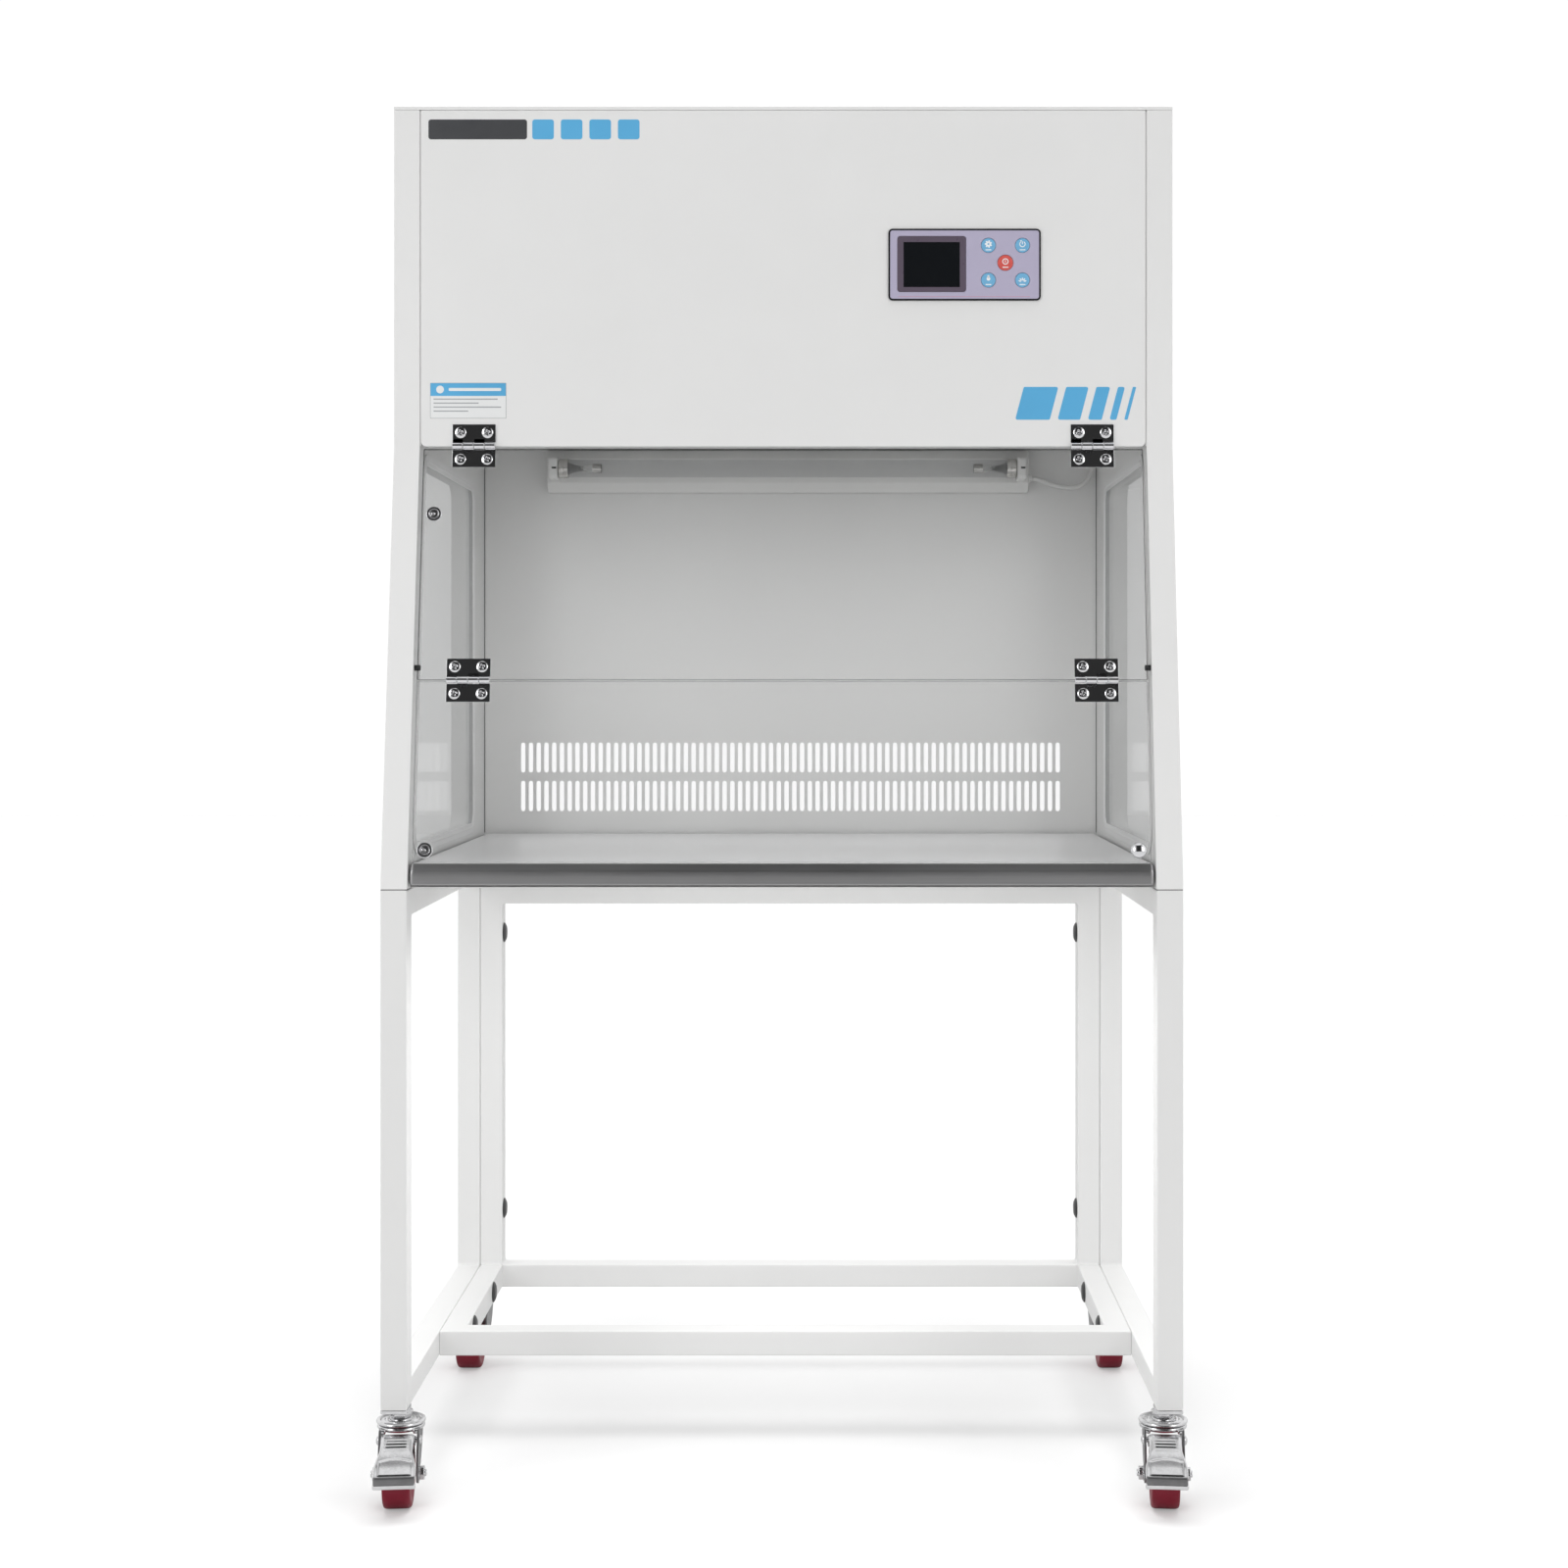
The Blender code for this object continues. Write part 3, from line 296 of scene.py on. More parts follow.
METALS = {
    "chrome": ((0.80, 0.80, 0.82), 0.07, dict(grain=300, depth=0.00001, rough_vary=0.03)),
    "caster_steel": ((0.72, 0.72, 0.73), 0.19, dict(vary=0.06, grain=420, rough_vary=0.08, patch=60)),
    "bright_zinc": ((0.66, 0.66, 0.67), 0.25, dict(vary=0.08, grain=500, rough_vary=0.08, patch=80)),
    "dull_zinc": ((0.25, 0.25, 0.255), 0.40, dict(vary=0.10, grain=500, depth=0.00004, patch=70)),
    "nickel": ((0.60, 0.59, 0.57), 0.22, dict(vary=0.08, grain=900, patch=90)),
    "brass": ((0.62, 0.45, 0.20), 0.28, dict(vary=0.08, grain=700, patch=90)),
}
PRINTS = {  # colour, roughness and drift
    "overlay": ((0.468, 0.436, 0.578), 0.34, 0.015),
    "bezel": ((0.115, 0.090, 0.125), 0.32, 0.04),
    "blue": ((0.175, 0.450, 0.700), 0.30, 0.03),
    "red": ((0.680, 0.105, 0.090), 0.30, 0.03),
    "white_print": ((0.88, 0.89, 0.90), 0.4, 0.02),
    "pink_print": ((0.56, 0.30, 0.42), 0.4, 0.03),
    "grey_print": ((0.055, 0.057, 0.062), 0.45, 0.06),
    "blue_print": ((0.100, 0.420, 0.720), 0.42, 0.03),
    "pale_print": ((0.40, 0.41, 0.42), 0.5, 0.04),
}


def fill(tree, node, values):
    """Sets a node's inputs by name or number: a socket is linked, anything else is the value itself."""
    for key, value in values.items():
        if isinstance(value, bpy.types.NodeSocket):
            tree.links.new(value, node.inputs[key])
        else:
            node.inputs[key].default_value = value


def add_node(tree, kind, **values):
    node = tree.nodes.new(kind)
    fill(tree, node, values)
    return node


def new_material(name):
    made = bpy.data.materials.new(name)
    made.use_nodes = True
    return made, made.node_tree, made.node_tree.nodes["Principled BSDF"]


def texture(tree, kind, scale, stretch=(1, 1, 1), **values):
    coords = tree.nodes.new("ShaderNodeTexCoord")
    mapping = add_node(tree, "ShaderNodeMapping", Vector=coords.outputs["Object"], Scale=stretch)
    return add_node(tree, kind, Vector=mapping.outputs["Vector"], Scale=scale, **values)


def noise(tree, scale, detail=2.0, stretch=(1, 1, 1)):
    return texture(tree, "ShaderNodeTexNoise", scale, stretch, Detail=detail, Roughness=0.5).outputs["Fac"]


def cells(tree, scale, output="Distance"):
    return texture(tree, "ShaderNodeTexVoronoi", scale).outputs[output]


def spread(tree, source, low, high, start=0.3, end=0.7):
    """A value that goes from low to high as source goes from start to end."""
    node = add_node(tree, "ShaderNodeMapRange", Value=source)
    fill(tree, node, {"From Min": start, "From Max": end, "To Min": low, "To Max": high})
    return node.outputs["Result"]


def blend_colours(tree, factor, first, second):
    node = tree.nodes.new("ShaderNodeMix")
    node.data_type = "RGBA"
    fill(tree, node, {"Factor": factor, "A": (*first, 1), "B": (*second, 1)})
    return node.outputs["Result"]


def calculated(tree, operation, *values):
    node = tree.nodes.new("ShaderNodeMath")
    node.operation = operation
    fill(tree, node, dict(enumerate(values)))
    return node.outputs[0]


def mix_shaders(tree, share, first, second):
    node = tree.nodes.new("ShaderNodeMixShader")
    fill(tree, node, {"Fac": share, 1: first, 2: second})
    return node.outputs["Shader"]


def relief(tree, height, distance, strength=1.0):
    bump = add_node(tree, "ShaderNodeBump", Height=height, Distance=distance, Strength=strength)
    return bump.outputs["Normal"]


def surface(
    name, colour, rough, vary=0.03, metal=0.0, grain=1200, depth=0.00003, stretch=(1, 1, 1),
    rough_vary=0.06, patch=9.0, specular=0.5,
):
    """A Principled material whose colour and roughness drift a little and whose surface has a grain."""
    made, tree, shader = new_material(name)
    darker = [c * (1 - vary) for c in colour]
    lighter = [min(1.0, c * (1 + vary)) for c in colour]
    drift = spread(tree, noise(tree, patch, 3.0), 0, 1)
    fill(tree, shader, {
        "Base Color": blend_colours(tree, drift, darker, lighter),
        "Roughness": spread(tree, noise(tree, patch * 6, 3.0), rough - rough_vary, rough + rough_vary),
        "Normal": relief(tree, noise(tree, grain, 2.0, stretch), depth),
        "Metallic": metal,
        "Specular IOR Level": specular,
    })
    return made


def make_materials():
    """Every material by name."""
    made = {name: surface(name, colour, rough, **rest) for name, (colour, rough, rest) in PLAIN.items()}
    for name, (colour, rough, rest) in METALS.items():
        made[name] = surface(name, colour, rough, metal=1.0, **rest)
    for name, look in PRINTS.items():
        made[name] = surface(name, *look, grain=2500, depth=0.00002)
    # the worktop's steel in two copies: a darker one for its front and nose, painted shade, and a much
    # lighter half-metal one for its top, painted light
    made["stainless"] = brushed_steel("stainless", (0.37, 0.37, 0.375), 0.34, 0.42)
    made["stainless_lit_top"] = brushed_steel("stainless_lit_top", (0.92, 0.92, 0.925), 0.28, 0.34, 0.45, 0.3)
    made["acrylic"] = clear_sheet("acrylic", 1.49, (0.988, 0.989, 0.989), 0.030)
    made["glass"] = clear_sheet("glass", 1.52, (0.805, 0.808, 0.808), 0.06, 0.50)
    made["quartz"] = clear_sheet("quartz", 1.40, (0.930, 0.933, 0.936), 0.02)
    made["acrylic_edge"] = polished_edge("acrylic_edge", (0.30, 0.31, 0.31), (0.48, 0.49, 0.49), 0.50)
    # a near-black copy of the polished edge: painted shade on the upper panel's edges
    made["painted_shade_edge"] = polished_edge("painted_shade_edge", (0.020, 0.022, 0.022), (0.050, 0.053, 0.053), 0.75)
    made["galvanised"] = spangled_zinc()
    made["screen"] = screen_glass()
    made["foam"] = foam_material()
    return made


def brushed_steel(name, colour, smooth, dull, metal=1.0, contrast=1.0):
    """Steel with fine lines along X, and broad soft bands that the rolling leaves."""
    made, tree, shader = new_material(name)
    lines = noise(tree, 2600, 3.0, (0.004, 1, 1))
    darker, lighter = ([c * (1 + change * contrast) for c in colour] for change in (-0.06, 0.05))
    fill(tree, shader, {
        "Base Color": blend_colours(tree, spread(tree, lines, 0, 1, 0.25, 0.75), darker, lighter),
        "Roughness": spread(tree, noise(tree, 26, 2.0, (0.15, 1, 1)), smooth, dull),
        "Normal": relief(tree, lines, 0.00001 * contrast, 0.6),
        "Metallic": metal,
    })
    return made


def spangled_zinc():
    """Hot-dip zinc: flat crystals of slightly different grey."""
    made, tree, shader = new_material("galvanised")
    crystals = add_node(tree, "ShaderNodeRGBToBW", Color=cells(tree, 85, "Color")).outputs["Val"]
    fill(tree, shader, {
        "Base Color": blend_colours(tree, crystals, (0.46, 0.47, 0.48), (0.62, 0.63, 0.64)),
        "Roughness": spread(tree, crystals, 0.30, 0.50, 0, 1),
        "Normal": relief(tree, noise(tree, 700), 0.00003),
        "Metallic": 1.0,
    })
    return made


def clear_sheet(name, ior, tint, rough, glance=1.0):
    """A clear sheet seen straight through, with a mirror of its surroundings that grows at a glance."""
    made, tree, shader = new_material(name)
    tree.nodes.remove(shader)
    through = add_node(tree, "ShaderNodeBsdfTransparent", Color=(*tint, 1))
    smears = spread(tree, noise(tree, 24, 4.0, (1, 1, 0.35)), rough, rough + 0.04, 0.35, 0.75)
    mirror = add_node(tree, "ShaderNodeBsdfGlossy", Color=(1, 1, 1, 1), Roughness=smears)
    facing = add_node(tree, "ShaderNodeLayerWeight", Blend=0.5).outputs["Facing"]
    straight_on = ((ior - 1) / (ior + 1)) ** 2
    share = spread(tree, calculated(tree, "POWER", facing, 5), straight_on, glance, 0, 1)
    mixed = mix_shaders(tree, share, through.outputs["BSDF"], mirror.outputs["BSDF"])
    fill(tree, tree.nodes["Material Output"], {"Surface": mixed})
    return made


def polished_edge(name, dark, light, opacity):
    """The sawn and polished edge of a clear panel, a little milky."""
    made, tree, shader = new_material(name)
    lines = noise(tree, 500, 2.0, (0.05, 1, 1))
    fill(tree, shader, {
        "Base Color": blend_colours(tree, lines, dark, light),
        "Roughness": spread(tree, lines, 0.12, 0.30),
        "Alpha": opacity,
        "Normal": relief(tree, lines, 0.00002),
    })
    return made


def screen_glass():
    """A dark display behind a smooth window, with its cells only just visible."""
    made, tree, shader = new_material("screen")
    colours = blend_colours(tree, cells(tree, 2200), (0.0055, 0.0065, 0.0080), (0.0085, 0.0100, 0.0120))
    fill(tree, shader, {"Base Color": colours, "Roughness": spread(tree, noise(tree, 40, 3.0), 0.07, 0.16)})
    return made


def foam_material():
    """Open-cell foam."""
    made, tree, shader = new_material("foam")
    pores = cells(tree, 420)
    deep = spread(tree, pores, 1, 0, 0.1, 0.7)
    fill(tree, shader, {
        "Base Color": blend_colours(tree, deep, (0.06, 0.065, 0.07), (0.22, 0.235, 0.25)),
        "Roughness": spread(tree, noise(tree, 30, 3.0), 0.85, 1.0),
        "Normal": relief(tree, pores, 0.0012),
    })
    return made


# Pieces


def linked(name, data, location=(0, 0, 0)):
    made = bpy.data.objects.new(name, data)
    made.location = location
    bpy.context.scene.collection.objects.link(made)
    return made


def make(name, body, parts, stands_for=(), place=BENCH, angle=38):
    """One piece from (solid, material) parts, riding on a body. A solid's faces may use several materials."""
    mesh_bm = bmesh.new()
    slots = []
    for solid, *materials in parts:
        remap = []
        for material in materials:
            if material not in slots:
                slots.append(material)
            remap.append(slots.index(material))
        for face in solid.faces:
            face.material_index = remap[min(face.material_index, len(remap) - 1)]
        part = bpy.data.meshes.new("part")
        solid.to_mesh(part)
        solid.free()
        mesh_bm.from_mesh(part)
        bpy.data.meshes.remove(part)
    mesh_bm.transform(place)
    mesh = bpy.data.meshes.new(name)
    mesh_bm.to_mesh(mesh)
    mesh_bm.free()
    for material in slots:
        mesh.materials.append(M[material])
    mesh.shade_smooth()
    mesh.set_sharp_from_angle(angle=math.radians(angle))
    piece = linked(name, mesh)
    modifier = piece.modifiers.new("Weighted normals", "WEIGHTED_NORMAL")
    modifier.keep_sharp = True
    modifier.weight = 90
    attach(piece, body)
    if stands_for:
        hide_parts(*stands_for)
    return piece


# Stand


def all_of(material, *solids):
    return [(solid, material) for solid in solids]


def make_stand():
    rail_top = LEG_BOTTOM + TUBE
    for side, sign in SIDES:
        ring = rectangle(0, LEG_BOTTOM, STAND_DEPTH, STAND_TOP - SEAT_SEAM)
        hole = rounded(inset(ring, TUBE), 0.0025, 3)
        tube = slab(ring, "x", sign * INNER, sign * WIDTH / 2, [hole], edge=TUBE_EDGE, steps=4)
        node = f"stand_side_frame_{side}"
        make(f"side_frame_{side}", "bench", [(tube, "powder_coat")], [node])
        # a dark grey strip in the seam between the side frame and the cabinet: painted shade of that seam
        shade_strip = box(
            (sign * (INNER + 0.0004), 0.0005, STAND_TOP - SEAT_SEAM - 0.0002),
            (sign * (WIDTH / 2 - 0.0004), STAND_DEPTH - 0.001, STAND_TOP - 0.0001), 0.0002,
        )
        make(f"seat_shade_strip_{side}", "bench", [(shade_strip, "seam_shade")])
    half, back = INNER - GAP, STAND_DEPTH - TUBE
    inner, joint, front = half - TUBE, back + 0.002, CENTRE_FRAME_FRONT
    upright = rectangle(-half, LEG_BOTTOM, half, CENTRE_FRAME_TOP)
    upright_hole = rounded(inset(upright, TUBE), 0.004, 3)
    floor = vectors(
        (-half, front), (half, front), (half, joint), (inner, joint),
        (inner, front + TUBE), (-inner, front + TUBE), (-inner, joint), (-half, joint),
    )
    solids = [
        slab(upright, "y", back, STAND_DEPTH, [upright_hole], edge=TUBE_EDGE, steps=4),
        slab(floor, "z", LEG_BOTTOM, rail_top, edge=TUBE_EDGE, steps=4),
    ]
    for _, sign in SIDES:  # weld beads where the rails meet
        bead = [(sign * (inner + 0.002 + 0.026 * k / 8), back, rail_top + 0.0004 * (k % 2)) for k in range(9)]
        solids.append(wire(bead, 0.0022, 8))
    make("centre_frame", "bench", all_of("powder_coat", *solids), ["stand_centre_frame"])
    dome = softened([(0, 0.0042), (0.0085, 0.0038), (0.0128, 0.0016), (0.0138, 0.0), (0, 0.0)], 0.0012)
    spots = [(back + TUBE / 2, z) for z in (0.207, 0.582)]
    spots += [(y, LEG_BOTTOM + TUBE / 2) for y in (0.299, 0.468)]
    caps = [lathe(mirrored(dome, -sign, sign * inner), "x", spot, 32) for _, sign in SIDES for spot in spots]
    make("frame_bolt_caps", "bench", all_of("black_plastic", *caps))


# Casters, about the stem's axis


def make_caster(row, side, sign):
    place, front = f"{row}_{side}", row == "front"
    depth = CASTER_Y[not front]
    stem = Matrix.Translation((sign * CASTER_X, depth, 0))
    dish = softened(
        [
            (0, 0.0752), (0.0074, 0.0752), (0.0080, 0.0768), (0.0078, 0.0781), (0.0050, 0.0782),
            (0.0050, 0.0861), (0.0258, 0.0860), (0.0273, 0.0868), (0.0276, 0.0882), (0.0270, 0.0896),
            (0.0252, 0.0904), (0.0232, 0.0900), (0.0222, 0.0884), (0.0196, 0.0880), (0.0180, 0.0884),
            (0.0172, 0.0898), (0.0150, 0.0902), (0.0138, 0.0892), (0.0130, 0.0890), (0.0126, 0.0912),
            (0.0, 0.0916),
        ],
        0.0006,
    )
    nut = slab(circle((0, 0), 0.0118, 6), "z", 0.0912, 0.0972, edge=0.0012, steps=3)
    washer = softened([(0, 0.0965), (0.0135, 0.0965), (0.0135, 0.0985), (0, 0.0985)], 0.0004)
    leg = TUBE / 2 if front else STAND_DEPTH - TUBE / 2
    across, back = sign * (WIDTH / 2 - TUBE / 2 - CASTER_X), leg - depth
    plug, flange = (
        box((across - half, back - half, low), (across + half, back + half, high), edge, 0.002)
        for half, low, high, edge in (
            (TUBE / 2 - 0.0018, 0.1005, 0.1235, 0.0005), (TUBE / 2, 0.0985, LEG_BOTTOM - GAP, 0.0006),
        )
    )
    solids = lathe(dish, "z", steps=64), nut, lathe(washer, "z", steps=36), plug, flange
    make(
        f"caster_top_{place}", "bench", all_of("caster_steel", *solids), [f"caster_mount_{place}"],
        BENCH @ stem,
    )
    swivel = BENCH @ stem @ Matrix.Rotation(-sign * CASTER_TURN if front else 0, 4, "Z")
    make_fork(place, swivel)
    make_wheel(place, swivel @ Matrix.Translation((0, -TRAIL, WHEEL_RADIUS)))
    if front:
        make_pedal(place, swivel @ Matrix.Translation((0, *PEDAL_PIVOT)))


def make_fork(place, stem):
    """Pressed crown with its ball race, cheeks that bend down from it, axle bolt and nut."""
    axle = (-TRAIL, WHEEL_RADIUS)
    crown = softened(
        [(0.0053, 0.0785), (0.0200, 0.0785), (0.0215, 0.0800), (0.0262, 0.0806), (0.0268, 0.0828),
         (0.0262, 0.0850), (0.0235, 0.0856), (0.0053, 0.0856)],
        0.0008,
    )
    parts = [(lathe(crown, "z", steps=64), "caster_steel")]
    outline = vectors((0.0245, 0.0838), (-0.0265, 0.0838), (-0.0330, 0.0700), (-0.0405, 0.0520))
    outline += arc(axle, 0.0112, 170, 318, 12)
    outline += spline([(-0.0165, 0.0350), (0.0020, 0.0475), (0.0150, 0.0600), (0.0222, 0.0712)], 0.004)[1:]
    shoulder = rounded(rectangle(-0.0245, 0.0785, 0.0225, 0.0842), 0.002, 3)
    tip = softened([(0, 0.0309), (0.0034, 0.0308), (0.0039, 0.0299), (0.0039, 0.0280), (0, 0.0280)], 0.0005)
    for _, sign in SIDES:
        for shape, near, far, edge, steps, material in (
            (outline, 0.0199, 0.0225, 0.0006, 3, "dull_zinc"),
            (shoulder, 0.0150, 0.0222, 0.0018, 4, "caster_steel"),
            (circle(axle, 0.0084, 32), 0.0224, 0.0237, 0.0003, 2, "bright_zinc"),
            (circle(axle, 0.0076, 6), 0.0236, 0.0288, 0.0009, 3, "bright_zinc"),
        ):
            parts.append((slab(shape, "x", sign * near, sign * far, edge=edge, steps=steps), material))
        parts.append((lathe(mirrored(tip, sign), "x", axle, 24), "bright_zinc"))
    sleeve = [(0, -0.0200), (0.0038, -0.0200), (0.0038, 0.0200), (0, 0.0200)]
    parts.append((lathe(sleeve, "x", axle, 24), "bright_zinc"))
    make(f"fork_{place}", f"swivel_{place}", parts, [f"caster_fork_{place}"], stem)


def make_wheel(place, axle):
    """Moulded tread with round shoulders on a dished core, with a bearing at its centre."""
    r, half = WHEEL_RADIUS, 0.0158
    tread = softened(
        [(0.0120, 0.0140), (0.0165, 0.0128), (0.0225, 0.0128), (0.0268, 0.0146), (0.0302, half),
         (0.0338, half), (0.0362, half - 0.0010), (0.0371, half - 0.0030), (r, half - 0.0062), (r, 0.0040)],
        0.0012,
    )
    bearing = softened(
        [(0.0042, 0.0165), (0.0066, 0.0165), (0.0068, 0.0158), (0.0098, 0.0158), (0.0100, 0.0165),
         (0.0121, 0.0165)],
        0.0003,
    )
    parts = [
        (lathe(half_profile + mirrored(half_profile[::-1], -1), "x", steps=steps), material)
        for half_profile, steps, material in ((tread, 96, "polyurethane"), (bearing, 48, "brass"))
    ]
    make(f"wheel_{place}", f"wheel_{place}", parts, [f"caster_wheel_{place}"], axle)


def clamp(value):
    return max(0.0, min(1.0, value))


def flange_point(distance, half, bend):
    """How far out and down the sheet is, at a distance along a strip that bends down at its edge."""
    flat, quarter = half - bend, bend * math.pi / 2
    if distance <= flat:
        return distance, 0.0
    if distance <= flat + quarter:
        turn = (distance - flat) / bend
        return flat + bend * math.sin(turn), bend * (1 - math.cos(turn))
    return half, bend + distance - flat - quarter


def pedal_relief(x, along, total):
    """How far the pressed plate stands proud: grooves across the neck and a pad on the foot."""
    neck = clamp((0.0124 - x) / 0.0008)
    rise = sum(-0.0013 * neck * math.exp(-(((along - groove) / 0.0008) ** 2)) for groove in PEDAL_GROOVES)
    rise -= 0.0005 * neck * math.exp(-(((along - PEDAL_GROOVES[-1] - 0.0045) / 0.0008) ** 2))
    pad_start = 0.043 + 0.0035 * (x / 0.018) ** 2
    pad = clamp((0.0185 - x) / 0.0015) * clamp((along - pad_start) / 0.0015)
    return rise + 0.0008 * (pad * clamp((total - 0.0015 - along) / 0.0012))


def pedal_plate():
    """A pressed strip with bent edges that follows the pedal's side view and widens into its foot."""
    route = [(-0.0115, 0.0100), (-0.0280, 0.0088), (-0.0440, 0.0015), (-0.0575, -0.0130), (-0.0655, -0.0205)]
    path = spline(route, 0.0008)
    lengths = [0.0]
    for a, b in zip(path, path[1:]):
        lengths.append(lengths[-1] + (b - a).length)
    columns, flange, bend, thickness = 44, 0.0075, 0.0030, 0.0016
    solid = bmesh.new()
    rows = []
    for index, (point, length) in enumerate(zip(path, lengths)):
        along = (path[min(index + 1, len(path) - 1)] - path[max(index - 1, 0)]).normalized()
        normal = Vector((along.y, -along.x))
        if normal.y < 0:
            normal = -normal
        widen = clamp((length - 0.030) / 0.026)
        half = PEDAL_NECK + (PEDAL_FOOT - PEDAL_NECK) * widen * widen * (3 - 2 * widen)
        row = []
        for k in range(columns + 1):
            across = 2 * k / columns - 1
            x, drop = flange_point(abs(across) * (half + flange), half, bend)
            drop *= 1 - 0.55 * widen
            position = point + normal * (pedal_relief(x, length, lengths[-1]) - drop)
            row.append(solid.verts.new((-x if across < 0 else x, position.x, position.y)))
        rows.append(row)
    for one, two in zip(rows, rows[1:]):
        for k in range(columns):
            solid.faces.new((one[k], one[k + 1], two[k + 1], two[k]))
    bmesh.ops.recalc_face_normals(solid, faces=solid.faces)
    bmesh.ops.solidify(solid, geom=solid.faces[:], thickness=thickness)
    solid.verts.index_update()
    for elements in (solid.faces, solid.edges):  # solidify leaves them in a different order on each run
        ordered = sorted(elements, key=lambda element: sorted(vertex.index for vertex in element.verts))
        for rank, element in enumerate(ordered):
            element.index = rank
        elements.sort()
    bmesh.ops.recalc_face_normals(solid, faces=solid.faces)
    return solid


def make_pedal(place, hinge):
    """A pressed brake pedal: ribbed neck, wider foot plate with a raised pad, lip and rolled edge."""
    tip = -PEDAL_REACH
    lip = vectors(
        (tip + 0.0034, -0.0196), (tip + 0.0016, -0.0202), (tip + 0.0004, -0.0222), (tip + 0.0002, -0.0300),
        (tip + 0.0022, -0.0300), (tip + 0.0024, -0.0225), (tip + 0.0034, -0.0212),
    )
    roll = rounded(rectangle(tip, -0.0338, tip + 0.0044, -0.0272), 0.0021, 6)
    parts = [
        (pedal_plate(), "caster_steel"),
        (slab(lip, "x", -0.0226, 0.0226, edge=0.0012, steps=3), "dull_zinc"),
        (slab(roll, "x", -0.0234, 0.0234, edge=0.0020, steps=4), "caster_steel"),
    ]
    cheek = vectors((0.005, 0.003), (-0.014, 0.009), (-0.028, 0.008), (-0.010, -0.005), (0.005, -0.005))
    pin = [
        (0, 0.0168), (0.003, 0.0168), (0.003, 0.0226), (0.0052, 0.0228), (0.0050, 0.0238), (0.0036, 0.0250),
        (0.0018, 0.0256), (0, 0.0257),
    ]
    for _, sign in SIDES:
        plate = slab(rounded(cheek, 0.002, 4), "x", sign * 0.0163, sign * 0.0182, edge=0.0004)
        parts.append((plate, "caster_steel"))
        parts.append((lathe(mirrored(pin, sign), "x", steps=32), "bright_zinc"))
    make(f"pedal_{place}", f"pedal_{place}", parts, [f"brake_pedal_{place}"], hinge, angle=50)


# Cabinet


def side_profile():
    top = LID_BOTTOM - GAP
    return vectors(
        (0, STAND_TOP), (DEPTH, STAND_TOP), (DEPTH, top), (COVER_FRONT, top), (COVER_FRONT, COVER_BOTTOM)
    )


def window_outline():
    bottom, top, back, border = 0.728, 1.182, 0.497, 0.030
    front = [border / math.cos(TILT) + math.tan(TILT) * (z - STAND_TOP) for z in (bottom, top)]
    return vectors((front[0], bottom), (back, bottom), (back, top), (front[1], top))


def window_ring(outer, outer_radius, inner, inner_radius, low, high, edge, steps=3):
    """A ring round the window between two outlines, each given by its inset and its corners' radius."""
    outline, hole = (
        rounded(inset(window_outline(), distance), radius, 10)
        for distance, radius in ((outer, outer_radius), (inner, inner_radius))
    )
    return slab(outline, "x", low, high, [hole], edge=edge, steps=steps)


def make_side_wall(side, sign):
    """A side panel, its window's reveal, the pane and its seal."""
    opening = window_outline()
    hole = rounded(opening, 0.025, 10)
    panel = slab(side_profile(), "x", sign * INNER, sign * WIDTH / 2, [hole], edge=0.0010, steps=3)
    reveal = sign * (INNER + 0.0095), sign * (WIDTH / 2 - 0.0012)
    liner = window_ring(-0.0002, 0.0252, 0.0006, 0.0246, *reveal, 0.0002, 1)
    parts = [(panel, "powder_coat"), (liner, "edging")]
    make(f"side_wall_{side}", "bench", parts, [f"side_panel_{side}"])
    pane = rounded(inset(opening, 0.0053), 0.020, 10)
    glass = slab(pane, "x", sign * (INNER + GAP), sign * (INNER + GAP + 0.005), edge=0.0004, rim_slot=1)
    parts = [(glass, "glass", "acrylic_edge")]
    make(f"side_glass_{side}", "bench", parts, [f"side_window_{side}"])
    lip, ridge, seat = (
        window_ring(*outlines, sign * (INNER + near), sign * (INNER + far), edge)
        for *outlines, near, far, edge in (
            (-0.006, 0.031, 0.008, 0.017, -0.0013, -GAP, 0.0005),
            (0.0005, 0.0245, 0.0030, 0.022, -0.0019, -0.0009, 0.0005),
            (GAP, 0.0247, 0.005, 0.020, -0.0008, 0.009, 0.0006),
        )
    )
    parts = all_of("gasket", lip, ridge, seat)
    make(f"window_seal_{side}", "bench", parts, [f"window_gasket_{side}"])


def make_sash_stop(side, sign):
    """A stud on the side panel, just behind the closed sash."""
    depth = PANEL_FACE + PANEL_THICKNESS + GAP + 0.0035
    place = (
        HINGE_AXIS_Y - STOP_DROP * math.sin(TILT) + depth * math.cos(TILT),
        HINGE_AXIS_Z - STOP_DROP * math.cos(TILT) - depth * math.sin(TILT),
    )
    stud = softened([(0, 0.4133), (0.0030, 0.4134), (0.0034, 0.4142), (0.0034, 0.4202), (0, 0.4202)], 0.0004)
    parts = [(lathe(mirrored(stud, sign), "x", place, 24), "black_plastic")]
    make(f"sash_stop_{side}", "bench", parts)


